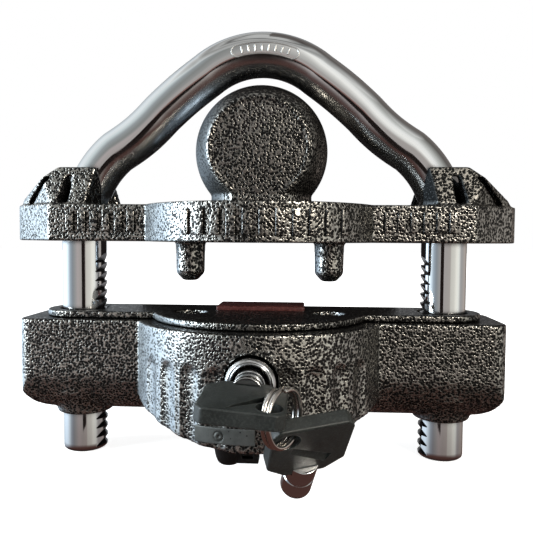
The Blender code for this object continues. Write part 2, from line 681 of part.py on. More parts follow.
# ---- pawls and their springs ------------------------------------------------------------------------
def make_pawl(name, side, tail):
    """side +1 or -1 is the leg it locks; tail +1 has its tail above the lock axis, -1 below."""
    face = LEG_X - LEG_R + TOOTH - 0.30 - PAWL_TRAVEL
    root = face - TOOTH
    low, high = LOCK_Z - 5.0, LOCK_Z + 5.0
    outline = [(PAWL_INNER, low), (root, low)]
    for k in range(2):
        flat = TOOTH_Z0 + k * PITCH + 0.22
        outline += [(root, flat), (face - 0.14, flat), (root, TOOTH_Z0 + (k + 1) * PITCH)]
    outline += [(root, high), (PAWL_INNER, high)]
    pawl = plate(name, on_side(side, outline), -4.0, 4.0, axis="Y", tool=False)

    x_low, x_high = sorted((side * (PAWL_INNER + 2.0), -side * 4.8))
    z_low, z_high = sorted((LOCK_Z + tail * PAWL_GAP, LOCK_Z + tail * 4.9))
    join(pawl, box(name + "_tail", (x_low, -3.0, z_low), (x_high, 3.0, z_high)))

    # the fork that the cam pin works in, open towards the axis
    fork_x, fork_half = -side * CAM_PIN, 1.22
    z_low, z_high = sorted((LOCK_Z - tail * 1.0, LOCK_Z + tail * 3.75))
    cut(pawl, box(name + "_fork", (fork_x - fork_half, -6.0, z_low),
                  (fork_x + fork_half, 6.0, z_high)))
    finish(pawl, "steel")


def make_pawl_spring(name, side, tail):
    """A spring between a stop and its pawl's body, across the lock axis from the pawl's tail."""
    near, far = STOP_FAR + 0.3, PAWL_INNER - 0.3
    points = coil(radius=1.75, length=far - near, turns=6, per_turn=8)
    start = near if side > 0 else -far
    finish(wire(name, points, 0.28, 0, (start, 0, LOCK_Z - tail * 2.75), TO_X), "spring")


# ---- keys and ring ----------------------------------------------------------------------------------
def make_key(number):
    """A key in its own frame: the head lies in XY and ends at y = 0, the tube points along +Y."""
    outline = [(-11.5, -5.0), (-6.0, 0.0), (6.0, 0.0), (11.5, -5.0), (11.5, -21.5), (9.5, -24.0),
               (-9.5, -24.0), (-11.5, -21.5)]
    head = plate("key_%d_head" % number, outline, -HEAD_T / 2, HEAD_T / 2, tool=False)
    chamfer(head, 0.6)
    # hollow from the tip back to y = 5, with a groove round the outside
    profile = [(0, 5.0), (3.1, 5.0), (3.1, 13.0), (TUBE_R, 13.0), (TUBE_R, 5.6), (4.3, 5.3),
               (4.3, 4.4), (TUBE_R, 4.1), (TUBE_R, -3.2), (0, -3.2)]
    tube = turned("key_%d_tube" % number, profile, (0, 0, 0))
    # the slot in the tube's end that sits over the head's edge
    saddle_z = HEAD_T / 2 + 0.2
    saddle = box("saddle_%d" % number, (-6.0, -6.0, -saddle_z), (6.0, 0.3, saddle_z))
    hole = rod("ring_hole_%d" % number, 3.6, 20.0, (*RING_HOLE, 0), sides=20)
    cut(tube, saddle)
    cut(head, hole)
    frame = hub("key_%d_frame" % number, (0, 0, 0))
    carry(frame, head, tube, saddle, hole)
    finish(head, "plastic")
    finish(tube, "chrome")
    return frame, head


def ring_point(angle):
    """A point on the ring's mean circle, the angle measured from the level direction."""
    return RING_CENTRE + RING_R * (math.cos(angle) * RING_ACROSS + math.sin(angle) * UP)


def make_ring():
    """A split ring of two turns of wire."""
    per_turn = 24
    points = []
    for i in range(2 * per_turn + 1):
        angle = 2 * math.pi * i / per_turn + math.radians(100.0)
        points.append(ring_point(angle) + RING_AXIS * RING_STEP * (i / per_turn - 1.0))
    ring = finish(wire("key_ring", points, WIRE_R, 2), "steel")
    carry(hub("ring_frame", (RING_HOLE[0], HEAD_Y + RING_HOLE[1], LOCK_Z)), ring)


def hang_key():
    """Key 2, hanging from the lower part of the ring."""
    frame, head = make_key(2)
    hang = math.radians(-58.0)
    hang_point = ring_point(hang)
    offset = Vector((-1.0, 0.0, 0.8))   # from the ring's wire to the middle of the key's hole
    blade = Vector((-0.13, 0.67, -0.73)).normalized()
    across = Vector((0.949, 0.30, 0.10))
    across = (across - across.dot(blade) * blade).normalized()
    face = (-across).cross(blade).normalized()
    turn = Matrix((-across, blade, face)).transposed()
    origin = hang_point + offset - turn @ Vector((*RING_HOLE, 0))
    frame.matrix_world = Matrix.Translation(origin * MM) @ turn.to_4x4()
    # opens the key's hole along the ring's wire
    tangent = -math.sin(hang) * RING_ACROSS + math.cos(hang) * UP
    cut(head, rod("ring_wear", 2.8, 18.0, hang_point,
                  tangent.to_track_quat("Z", "Y").to_euler(), sides=20))


# ---- build ------------------------------------------------------------------------------------------
make_shackle()
make_bracket()
make_housing()
make_cover()
make_cover_screws()
make_lock()
for pawl_side, pawl_label in SIDES:
    # the left pawl's tail is above the lock axis, the right one's below
    make_pawl("pawl_" + pawl_label, pawl_side, tail=-pawl_side)
    make_pawl_spring("pawl_spring_" + pawl_label, pawl_side, tail=-pawl_side)

key_1, _ = make_key(1)
place(key_1, on_lock(HEAD_Y), (0, KEY_TILT, 0))
make_ring()
hang_key()
bpy.context.view_layer.update()
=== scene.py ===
# A shackle lock: a notched U-shaped bar, a ball bracket across its legs, a base with a key lock,
# and two keys on a split ring.
# The shackle stands in the XZ plane with its legs along Z and its crown on top.  The front, with
# the lock and the keys, faces -Y; left is -X.  Shapes are made in millimetres and scaled to metres.

import math

import bmesh
import bpy
from mathutils import Matrix, Vector


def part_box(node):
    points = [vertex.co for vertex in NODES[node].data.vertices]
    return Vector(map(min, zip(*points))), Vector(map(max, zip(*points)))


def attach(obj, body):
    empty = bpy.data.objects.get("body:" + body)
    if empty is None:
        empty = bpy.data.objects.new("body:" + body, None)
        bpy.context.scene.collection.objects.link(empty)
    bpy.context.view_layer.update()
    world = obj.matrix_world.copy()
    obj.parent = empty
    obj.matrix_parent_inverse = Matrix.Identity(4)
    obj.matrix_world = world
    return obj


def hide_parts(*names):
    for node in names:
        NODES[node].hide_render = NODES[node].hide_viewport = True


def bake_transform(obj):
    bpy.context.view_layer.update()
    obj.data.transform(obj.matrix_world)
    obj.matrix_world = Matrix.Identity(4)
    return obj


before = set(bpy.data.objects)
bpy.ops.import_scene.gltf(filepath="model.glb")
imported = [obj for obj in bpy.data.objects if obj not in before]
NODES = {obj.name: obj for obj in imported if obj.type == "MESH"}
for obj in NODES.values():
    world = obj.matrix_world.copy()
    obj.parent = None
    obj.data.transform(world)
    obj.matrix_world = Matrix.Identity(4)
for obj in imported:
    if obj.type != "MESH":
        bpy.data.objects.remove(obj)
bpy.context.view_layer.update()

MM = 0.001
SIDES = (1, -1)     # right, left

# ================================================================================================
# Main measures, in millimetres
# ================================================================================================


def mm_box(node):
    """The lowest and highest corners of a frame piece."""
    low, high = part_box(node)
    return low / MM, high / MM


def mm_middle(node):
    low, high = mm_box(node)
    return (low + high) / 2


SHACKLE_LOW, SHACKLE_HIGH = mm_box("shackle")
BRACKET_LOW, BRACKET_HIGH = mm_box("ball_bracket")
HOUSING_LOW, HOUSING_HIGH = mm_box("base_housing")
COVER_LOW, COVER_HIGH = mm_box("base_cover")
SHELL_LOW, SHELL_HIGH = mm_box("lock_shell")
KEY_HEAD_HIGH = mm_box("key_1_head")[1]
SCREWS = [mm_middle("cover_screw_%d" % number) for number in (1, 2, 3, 4)]

# shackle
LEG_R = SHACKLE_HIGH.y             # bar radius
LEG_X = SHACKLE_HIGH.x - LEG_R     # leg axis
LEG_BOTTOM = SHACKLE_LOW.z
CROWN_Z = SHACKLE_HIGH.z - LEG_R   # bar axis at the crown
LEG_TOP = 29.0                     # where the leg starts to bend
BEND_R = 35.0
CROWN_R = 31.4
SLOPE = math.radians(39.5)         # of the straight runs between bend and crown
PITCH = 3.4                        # of the notches
TOOTH = 2.2                        # notch depth
TEETH = 21
TEETH_BELOW = 9                    # notches below TOOTH_Z0
TOOTH_Z0 = -22.1

# base
BAR_HALF, BAR_Y = HOUSING_HIGH.x, HOUSING_HIGH.y
BAR_BOTTOM, BAR_TOP = -38.2, HOUSING_HIGH.z
BULGE_R = -HOUSING_LOW.y
BULGE_BOTTOM = -40.0
BULGE_ARC = 95.0                   # radius of the bulge's underside, seen from the front
COVER_TOP, COVER_BOTTOM = COVER_HIGH.z - 1.5, COVER_LOW.z
COVER_R, COVER_END_R = -COVER_LOW.y, COVER_HIGH.y
BORE_R = 8.45                      # leg holes
FLUTES = (-50.0, -38.0, -26.0, -14.0, 14.0, 26.0, 38.0, 50.0)     # degrees from the front
GROOVES = (-44.0, -32.0, -20.0, 20.0, 32.0, 44.0)
FLUTE_R, FLUTE_DEPTH, FLUTE_Z = 9.0, 0.8, -17.5
SMALL_HOLE_X, SMALL_HOLE_Y, SMALL_HOLE_R = -7.9, -30.5, 1.85     # upright hole by the lock

# bracket
BRACKET_Z0, BRACKET_Z1, TOWER_TOP = 23.3, 36.0, 49.3
BRACKET_HALF, BRACKET_R = BRACKET_HIGH.x, -BRACKET_LOW.y
BRACKET_FRONT = -17.0              # y of the arms' front
BALL_R = 23.8
BALL_FLAT = 15.8                   # ball centre to its flat front
BALL_Z = BRACKET_HIGH.z - BALL_R
PIN_X, PIN_Y, PIN_R, PIN_HOLE_R = 24.4, -9.0, 5.15, 5.8
PIN_LEN = BRACKET_Z0 - BRACKET_LOW.z

# lock face
LOCK_Z = (SHELL_LOW.z + SHELL_HIGH.z) / 2
SHELL_R, SHELL_BORE = SHELL_HIGH.x, 5.15
SHELL_FRONT, SHELL_BACK = SHELL_LOW.y, SHELL_HIGH.y

# keys: x across the head, y along the key towards its tip, z through the head
HEAD_T = 5.6
HEAD_LEN = 24.0
TUBE_R = 4.75
RING_HOLE = (7.1, -19.0)
KEY_TILT = math.radians(5.0)

# split ring: a circle spanned by RING_T and Z, coiled along RING_N
RING_C = Vector((10.2, -67.5, -21.6))
RING_T = Vector((0.480, 0.877, 0.0)).normalized()
RING_N = Vector((0.877, -0.480, 0.0)).normalized()
RING_R, WIRE_R, RING_STEP = 7.5, 0.68, 1.55
HANG = math.radians(-58.0)         # where the spare key hangs on the ring

SCRATCH = bpy.data.collections.new("scratch")
bpy.context.scene.collection.children.link(SCRATCH)

# ================================================================================================
# Mesh helpers, all in millimetres
# ================================================================================================
AXIS_Y = Matrix.Rotation(math.radians(-90), 3, "X")     # turns +Z to +Y
PLATE_TURNS = {
    "Y": Matrix(((1, 0, 0, 0), (0, 0, 1, 0), (0, 1, 0, 0), (0, 0, 0, 1))),
    "X": Matrix(((0, 0, 1, 0), (1, 0, 0, 0), (0, 1, 0, 0), (0, 0, 0, 1))),
}


def shade(mesh, sharp_angle):
    mesh.shade_smooth()
    mesh.set_sharp_from_angle(angle=math.radians(sharp_angle))


def new_object(name, shape, rotation=None, location=(0, 0, 0), smooth=None):
    """An object at the origin whose mesh carries the place."""
    place = Matrix.Translation(Vector(location) * MM)
    if rotation is not None:
        place = place @ rotation.to_4x4()
    bmesh.ops.scale(shape, vec=(MM, MM, MM), verts=shape.verts)
    bmesh.ops.transform(shape, matrix=place, verts=shape.verts)
    bmesh.ops.recalc_face_normals(shape, faces=shape.faces)
    mesh = bpy.data.meshes.new(name)
    shape.to_mesh(mesh)
    shape.free()
    obj = bpy.data.objects.new(name, mesh)
    SCRATCH.objects.link(obj)
    if smooth is not None:
        shade(mesh, smooth)
    return obj


def bake(obj, smooth=None):
    """Applies the modifiers."""
    bpy.context.view_layer.update()
    graph = bpy.context.evaluated_depsgraph_get()
    mesh = bpy.data.meshes.new_from_object(obj.evaluated_get(graph))
    obj.modifiers.clear()
    obj.data = mesh
    if smooth is not None:
        shade(mesh, smooth)
    return obj


def combine(obj, others, operation):
    for other in others:
        modifier = obj.modifiers.new("combine", "BOOLEAN")
        modifier.object = other
        modifier.operation = operation
        modifier.solver = "EXACT"
    bake(obj)
    for other in others:
        bpy.data.objects.remove(other, do_unlink=True)
    return obj


def cut(obj, *others):
    return combine(obj, others, "DIFFERENCE")


def join(obj, *others):
    return combine(obj, others, "UNION")


def common(obj, other):
    return combine(obj, [other], "INTERSECT")


def bevel(obj, width, segments, over_angle=None, smooth=None):
    modifier = obj.modifiers.new("edge", "BEVEL")
    modifier.width = width * MM
    modifier.segments = segments
    if over_angle is not None:
        modifier.limit_method = "ANGLE"
        modifier.angle_limit = math.radians(over_angle)
    return bake(obj, smooth)


def box(low, high):
    shape = bmesh.new()
    bmesh.ops.create_cube(shape, size=1.0)
    bmesh.ops.scale(shape, vec=[h - l for l, h in zip(low, high)], verts=shape.verts)
    return new_object("box", shape, location=[(l + h) / 2 for l, h in zip(low, high)])


def rod(radius, length, centre, rotation=None, sides=64):
    shape = bmesh.new()
    bmesh.ops.create_cone(shape, cap_ends=True, segments=sides, radius1=radius, radius2=radius,
                          depth=length)
    return new_object("rod", shape, rotation, centre)


def ball(radius, centre):
    shape = bmesh.new()
    bmesh.ops.create_uvsphere(shape, u_segments=96, v_segments=64, radius=radius)
    return new_object("ball", shape, location=centre)


def turned(profile, centre=(0, 0, 0), rotation=None, steps=96):
    """A profile of (radius, height) points turned about Z, closed if it stays off the axis."""
    shape = bmesh.new()
    rings = []
    for radius, height in profile:
        if radius < 1e-6:
            rings.append([shape.verts.new((0, 0, height))])
            continue
        angles = [2 * math.pi * i / steps for i in range(steps)]
        rings.append([shape.verts.new((radius * math.cos(angle), radius * math.sin(angle), height))
                      for angle in angles])
    pairs = list(zip(rings, rings[1:]))
    if profile[0][0] > 1e-6 and profile[-1][0] > 1e-6:
        pairs.append((rings[-1], rings[0]))
    for lower, upper in pairs:
        for i in range(steps):
            j = (i + 1) % steps
            if len(lower) == 1 and len(upper) > 1:
                shape.faces.new((lower[0], upper[i], upper[j]))
            elif len(upper) == 1 and len(lower) > 1:
                shape.faces.new((lower[i], upper[0], lower[j]))
            elif len(lower) > 1:
                shape.faces.new((lower[i], upper[i], upper[j], lower[j]))
    return new_object("turned", shape, rotation, centre)


def rounded(profile, radius, steps=4):
    """Rounds a profile's inner points by short arcs."""
    points = []
    last = len(profile) - 1
    for i, corner in enumerate(profile):
        corner = Vector(corner)
        if i in (0, last) or corner.x < 1e-6:
            points.append(tuple(corner))
            continue
        before = Vector(profile[i - 1]) - corner
        after = Vector(profile[i + 1]) - corner
        reach = min(radius, before.length * 0.45, after.length * 0.45)
        before.normalize()
        after.normalize()
        for k in range(steps + 1):
            t = k / steps
            point = (corner + before * reach) * (1 - t) ** 2 + corner * 2 * t * (1 - t) \
                + (corner + after * reach) * t * t
            points.append(tuple(point))
    return points


def plate(outline, low, high, axis="Z"):
    """A flat outline between two heights.  axis Z: (x, y).  axis Y: (x, z).  axis X: (y, z)."""
    shape = bmesh.new()
    lower = [shape.verts.new((x, y, low)) for x, y in outline]
    upper = [shape.verts.new((x, y, high)) for x, y in outline]
    shape.faces.new(lower)
    shape.faces.new(upper)
    for i in range(len(outline)):
        j = (i + 1) % len(outline)
        shape.faces.new((lower[i], lower[j], upper[j], upper[i]))
    if axis in PLATE_TURNS:
        bmesh.ops.transform(shape, matrix=PLATE_TURNS[axis], verts=shape.verts)
    return new_object("plate", shape)


def sweep(name, points, radius, sides=24, smooth=None, radii=None):
    """A round bar along a line of points, with flat caps.  radii gives each point its own."""
    points = [Vector(point) for point in points]
    shape = bmesh.new()
    last = len(points) - 1
    tangents = [(points[min(i + 1, last)] - points[max(i - 1, 0)]).normalized()
                for i in range(len(points))]
    reference = Vector((0, 1, 0))
    if abs(tangents[0].dot(reference)) > 0.9:
        reference = Vector((1, 0, 0))
    across = tangents[0].cross(reference).normalized()
    rings = []
    for i, (point, tangent) in enumerate(zip(points, tangents)):
        across = (across - across.dot(tangent) * tangent).normalized()
        up = tangent.cross(across)
        size = radii[i] if radii else radius
        ring = []
        for k in range(sides):
            angle = 2 * math.pi * k / sides
            spoke = math.cos(angle) * across + math.sin(angle) * up
            ring.append(shape.verts.new(point + size * spoke))
        rings.append(ring)
    for first, second in zip(rings, rings[1:]):
        for i in range(sides):
            j = (i + 1) % sides
            shape.faces.new((first[i], first[j], second[j], second[i]))
    shape.faces.new(rings[0])
    shape.faces.new(rings[-1])
    return new_object(name, shape, smooth=smooth)


def hull(points):
    """The convex solid round a set of points."""
    shape = bmesh.new()
    for point in points:
        shape.verts.new(point)
    bmesh.ops.convex_hull(shape, input=shape.verts)
    return new_object("hull", shape)


def arc(x, y, radius, start, end, count):
    """Points round (x, y) from one angle to another, in degrees."""
    angles = [math.radians(start + (end - start) * i / count) for i in range(count + 1)]
    return [(x + radius * math.cos(a), y + radius * math.sin(a)) for a in angles]


def front_point(radius, degrees):
    """(x, y) on a circle about the Z axis; 0 degrees is the front, + is to the right."""
    angle = math.radians(degrees)
    return radius * math.sin(angle), -radius * math.cos(angle)


def full(half):
    """A right half outline with its mirror image."""
    return half + [(-x, y) for x, y in reversed(half) if x > 1e-6]


def flip(side, points):
    return [(side * x, *rest) for x, *rest in points]


def cast_skin(obj, voxel, smoothing, most=185000):
    """Turns boolean geometry into one even skin whose edges are rounded like a casting's."""
    remesh = obj.modifiers.new("skin", "REMESH")
    remesh.mode = "VOXEL"
    remesh.voxel_size = voxel * MM
    remesh.adaptivity = 0.0
    soften = obj.modifiers.new("soft", "SMOOTH")
    soften.factor = 0.5
    soften.iterations = smoothing
    bake(obj)
    triangles = sum(len(face.vertices) - 2 for face in obj.data.polygons)
    if triangles > most:
        thin = obj.modifiers.new("thin", "DECIMATE")
        thin.ratio = most / triangles
        bake(obj)
    obj.data.shade_smooth()
    return obj


# ================================================================================================
# Shader graph helpers
# ================================================================================================
class Graph:
    """A short way to write a node tree."""

    def __init__(self, tree, coordinates="Object", third=0.0):
        """third fills a math node's last input; None leaves it alone."""
        self.tree = tree
        self.third = third
        tree.nodes.clear()
        self.coord = self.node("ShaderNodeTexCoord").outputs[coordinates]

    def node(self, kind):
        return self.tree.nodes.new(kind)

    def feed(self, socket, value):
        if isinstance(value, bpy.types.NodeSocket):
            self.tree.links.new(value, socket)
        elif isinstance(value, tuple) and len(value) == 3 and socket.type == "RGBA":
            socket.default_value = (*value, 1.0)
        else:
            socket.default_value = value

    def math(self, operation, a, b=0.0, clamp=False):
        node = self.node("ShaderNodeMath")
        node.operation = operation
        node.use_clamp = clamp
        for socket, value in zip(node.inputs, (a, b, self.third)):
            if value is not None:
                self.feed(socket, value)
        return node.outputs[0]

    def times(self, a, b):
        return self.math("MULTIPLY", a, b)

    def plus(self, a, b):
        return self.math("ADD", a, b)

    def centred(self, value, scale):
        """A 0 to 1 value moved to lie about 0, then scaled."""
        return self.times(self.math("SUBTRACT", value, 0.5), scale)

    def vec(self, operation, a, b=(0.0, 0.0, 0.0), scale=None):
        node = self.node("ShaderNodeVectorMath")
        node.operation = operation
        self.feed(node.inputs[0], a)
        if operation != "SCALE":
            self.feed(node.inputs[1], b)
        if scale is not None:
            self.feed(node.inputs["Scale"], scale)
        single = operation in ("DOT_PRODUCT", "LENGTH")
        return node.outputs["Value" if single else "Vector"]

    def parts(self, vector):
        node = self.node("ShaderNodeSeparateXYZ")
        self.feed(node.inputs[0], vector)
        return node.outputs[0], node.outputs[1], node.outputs[2]

    def noise(self, scale, detail=3.0, rough=0.5, vector=None, colour=False):
        node = self.node("ShaderNodeTexNoise")
        node.inputs["Scale"].default_value = scale
        node.inputs["Detail"].default_value = detail
        node.inputs["Roughness"].default_value = rough
        self.feed(node.inputs["Vector"], vector or self.coord)
        return node.outputs["Color" if colour else "Fac"]

    def voronoi(self, scale, vector=None, randomness=1.0):
        node = self.node("ShaderNodeTexVoronoi")
        node.inputs["Scale"].default_value = scale
        node.inputs["Randomness"].default_value = randomness
        self.feed(node.inputs["Vector"], vector or self.coord)
        return node.outputs["Distance"]

    def ramp(self, value, stops):
        """stops: (position, grey or colour)."""
        node = self.node("ShaderNodeValToRGB")
        elements = node.color_ramp.elements
        while len(elements) < len(stops):
            elements.new(0.5)
        for element, (position, tone) in zip(elements, stops):
            element.position = position
            element.color = (*tone, 1.0) if isinstance(tone, tuple) else (tone, tone, tone, 1.0)
        self.feed(node.inputs[0], value)
        return node.outputs["Color"]

    def map(self, value, span=(0.0, 1.0), to=(0.0, 1.0), smooth=False):
        node = self.node("ShaderNodeMapRange")
        node.interpolation_type = "SMOOTHSTEP" if smooth else "LINEAR"
        for key, number in zip(("From Min", "From Max", "To Min", "To Max"), (*span, *to)):
            node.inputs[key].default_value = number
        self.feed(node.inputs["Value"], value)
        return node.outputs["Result"]

    def mix(self, factor, a, b, blend="MIX"):
        node = self.node("ShaderNodeMix")
        node.data_type = "RGBA"
        node.blend_type = blend
        self.feed(node.inputs[0], factor)
        self.feed(node.inputs[6], a)
        self.feed(node.inputs[7], b)
        return node.outputs[2]


class Material(Graph):
    """A material round one Principled shader."""

    def __init__(self, name):
        self.mat = bpy.data.materials.new(name)
        self.mat.use_nodes = True
        super().__init__(self.mat.node_tree)
        self.surface = self.node("ShaderNodeOutputMaterial").inputs["Surface"]
        self.shader = self.node("ShaderNodeBsdfPrincipled")
        self.feed(self.surface, self.shader.outputs[0])

    def set(self, **values):
        for key, value in values.items():
            self.feed(self.shader.inputs[key.replace("_", " ")], value)

    def bump(self, height, strength, distance, normal=None):
        node = self.node("ShaderNodeBump")
        self.feed(node.inputs["Strength"], strength)
        node.inputs["Distance"].default_value = distance
        self.feed(node.inputs["Height"], height)
        if normal is not None:
            self.feed(node.inputs["Normal"], normal)
        return node.outputs["Normal"]

    def stretch(self, *scales):
        return self.vec("MULTIPLY", self.coord, scales)

    def facing(self):
        """x, y and z of the surface normal."""
        return self.parts(self.node("ShaderNodeNewGeometry").outputs["Normal"])

    def openness(self, distance):
        """1 in the open, falling towards 0 in nooks."""
        node = self.node("ShaderNodeAmbientOcclusion")
        node.samples = 6
        node.inputs["Distance"].default_value = distance
        return node.outputs["AO"]

    def edge(self, radius):
        """About 0 on flats and 1 on convex and concave edges."""
        node = self.node("ShaderNodeBevel")
        node.samples = 6
        node.inputs["Radius"].default_value = radius
        flat = self.node("ShaderNodeNewGeometry").outputs["Normal"]
        likeness = self.vec("DOT_PRODUCT", node.outputs["Normal"], flat)
        return self.math("SUBTRACT", 1.0, likeness, clamp=True)


def scaled(colour, factor):
    return tuple(channel * factor for channel in colour)


# ================================================================================================
# Materials.  Texture lengths are in metres.
# ================================================================================================
def hammertone(name, cell=0.82, silver=(0.238, 0.230, 0.213), level=0.468, shade_sideways=False):
    """Silver hammered paint broken by round black pits that run together, about half a mm wide.

    cell scales the pit spacing, level sets the pit size, and the last flag darkens faces that look
    sideways, a painted shade. Light and shade are also painted in: brighter, bluer left sides, darker
    tops, darker nooks and set areas.
    """
    paint = Material(name)
    wobble = paint.noise(scale=1100.0, detail=1.0, colour=True)
    shift = paint.vec("SCALE", paint.vec("SUBTRACT", wobble, (0.5, 0.5, 0.5)), scale=0.00045)
    pits = paint.voronoi(scale=1.0 / (0.00105 * cell), randomness=0.9,
                         vector=paint.vec("ADD", paint.coord, shift))
    fine = paint.noise(scale=3200.0, detail=2.0)
    broad = paint.noise(scale=260.0, detail=2.0)
    normal_x, _, normal_z = paint.facing()
    place_x, _, place_z = paint.parts(paint.coord)

    # level tops have more pits, a painted shade that darkens them; left-facing sides are smoother,
    # brighter and bluer, a painted light from the window on the left
    top = paint.map(normal_z, span=(0.55, 0.97), smooth=True)
    lit_left_side = paint.map(normal_x, span=(-0.30, -0.80), smooth=True)
    reach = paint.plus(pits, paint.plus(paint.centred(fine, 0.09), paint.centred(broad, 0.26)))
    reach = paint.math("SUBTRACT", reach, paint.times(top, 0.16))
    reach = paint.plus(reach, paint.times(lit_left_side, 0.16))
    hole = paint.map(reach, span=(level - 0.05, level + 0.06), to=(1.0, 0.0), smooth=True)
    crest = paint.map(reach, span=(level + 0.02, level + 0.25), to=(0.36, 2.15))
    crest = paint.math("MINIMUM", crest, paint.map(lit_left_side, to=(2.15, 1.85)))

    # painted light and shade: set areas are darkened or brightened to stand in for how light falls on
    # them
    inner = paint.times(paint.map(place_x, span=(-0.052, -0.0535)),
                        paint.map(normal_x, span=(0.35, 0.70), smooth=True))
    inner = paint.times(inner, paint.map(place_z, span=(0.0352, 0.0365)))
    on_ball = paint.times(
        paint.map(place_z, span=(0.0362, 0.040)),
        paint.map(paint.math("ABSOLUTE", place_x), span=(0.030, 0.034), to=(1.0, 0.0)))
    on_right = paint.times(paint.map(place_z, span=(0.0362, 0.038)),
                           paint.map(place_x, span=(0.050, 0.053)))
    right_end = paint.times(on_right, paint.map(normal_x, span=(-0.25, -0.60), smooth=True))
    low = paint.map(place_z, span=(0.010, 0.020), to=(1.0, 0.0))
    painted_light_zones = (
        (inner, 0.16),                                                # left tower's inner end
        (on_ball, 0.60),
        (on_right, 0.46),                                             # right tower
        (right_end, 0.14),                                            # right tower's inner end
        (paint.times(low, lit_left_side), 1.22),                              # base, facing left
        (paint.times(paint.math("SUBTRACT", 1.0, low), lit_left_side), 0.82),    # bracket, facing left
        (paint.times(low, paint.map(place_x, span=(0.044, 0.048))), 0.78),    # base's right arm
    )
    # painted shade: colour and specular strength fall in nooks, following the occlusion mask
    light = paint.map(paint.openness(0.004), span=(0.25, 0.92), to=(0.12, 1.0))
    for amount, factor in painted_light_zones:
        light = paint.times(light, paint.map(amount, to=(1.0, factor)))
    if shade_sideways:
        # painted shade: the relief bars' sideways faces are darkened
        sideways = paint.math("ABSOLUTE", normal_x)
        light = paint.times(light, paint.map(sideways, span=(0.70, 0.90), to=(1.0, 0.10),
                                             smooth=True))

    # painted light: left-facing sides take a bluish tint and lighter pit floors, standing in for the
    # window's light
    painted_window_blue = (silver[0] * 0.93, silver[1] * 1.06, silver[2] * 1.24)
    bright = paint.vec("SCALE", paint.mix(lit_left_side, silver, painted_window_blue), scale=paint.times(crest, light))
    pit_floor = paint.mix(lit_left_side, (0.0030, 0.0028, 0.0028), (0.060, 0.066, 0.072))
    height = paint.plus(paint.map(reach, span=(level - 0.12, level + 0.25), smooth=True),
                        paint.times(fine, 0.12))
    normal = paint.bump(height, strength=paint.map(lit_left_side, to=(0.8, 0.35)), distance=0.00010)
    normal = paint.bump(paint.noise(scale=420.0, detail=2.0), strength=0.22, distance=0.0005,
                        normal=normal)
    duller = paint.plus(paint.times(lit_left_side, 0.26), paint.times(on_right, 0.20))
    paint.set(Base_Color=paint.mix(hole, bright, pit_floor),
              Metallic=paint.map(hole, to=(0.96, 0.0)),
              Roughness=paint.plus(paint.map(hole, to=(0.22, 0.36)), duller),
              Specular_IOR_Level=paint.times(paint.map(hole, to=(0.5, 0.13)), light),
              Coat_Weight=0.04, Coat_Roughness=0.10, Normal=normal)
    return paint.mat


def smooth_paint(name, tint, rough=0.34):
    """The same paint where it lies smooth: faint orange peel, cloudy, a few pinholes."""
    paint = Material(name)
    cloud = paint.noise(scale=170.0, detail=4.0, rough=0.6)
    peel = paint.noise(scale=900.0, detail=2.0, rough=0.6)
    holes = paint.map(paint.voronoi(scale=420.0), span=(0.06, 0.13), to=(1.0, 0.0), smooth=True)
    colour = paint.mix(paint.map(cloud, span=(0.3, 0.75)), tint, scaled(tint, 0.5))
    paint.set(Base_Color=paint.mix(holes, colour, (0.004, 0.004, 0.004)), Metallic=0.6,
              Roughness=paint.map(cloud, span=(0.3, 0.75), to=(rough, rough + 0.15)),
              Normal=paint.bump(peel, strength=0.30, distance=0.00018))
    return paint.mat


def chrome(name, tint=(0.80, 0.81, 0.82), rough=0.035, grime=0.35, nook_amount=0.85, film=0.0):
    """Plated metal.  grime clouds it, the nook amount darkens and roughens nooks by an occlusion
    mask, film dulls the side that faces down.
    """
    metal = Material(name)
    haze = metal.noise(scale=90.0, detail=4.0, rough=0.6)
    lines = metal.noise(scale=900.0, detail=2.0, rough=0.7, vector=metal.stretch(1.0, 1.0, 0.05))
    roughness = metal.plus(metal.map(haze, span=(0.35, 0.75), to=(rough, rough * 2.4)),
                           metal.map(lines, span=(0.45, 0.8), to=(0.0, 0.03)))
    cloud = metal.map(haze, span=(0.3, 0.8), to=(1.0, 1.0 - 0.10 * grime))
    colour = metal.mix(1.0, tint, metal.ramp(cloud, [(0.0, 0.0), (1.0, 1.0)]), "MULTIPLY")
    # darker and rougher in the notches and where the bar enters its holes, by an occlusion mask
    deep = metal.map(metal.openness(0.0025), span=(0.45, 0.90), to=(1.0, 0.0), smooth=True)
    colour = metal.mix(metal.times(deep, nook_amount), colour, (0.055, 0.045, 0.040))
    roughness = metal.plus(roughness, metal.times(deep, 0.20 * nook_amount))
    below = metal.map(metal.facing()[2], span=(-0.12, -0.50), smooth=True)
    roughness = metal.plus(roughness, metal.times(below, film))
    ripple = metal.noise(scale=45.0, detail=2.0)
    normal = metal.bump(ripple, strength=0.06, distance=0.0008)
    normal = metal.bump(lines, strength=0.015, distance=0.0001, normal=normal)
    metal.set(Base_Color=colour, Metallic=1.0, Roughness=roughness, Normal=normal)
    return metal.mat


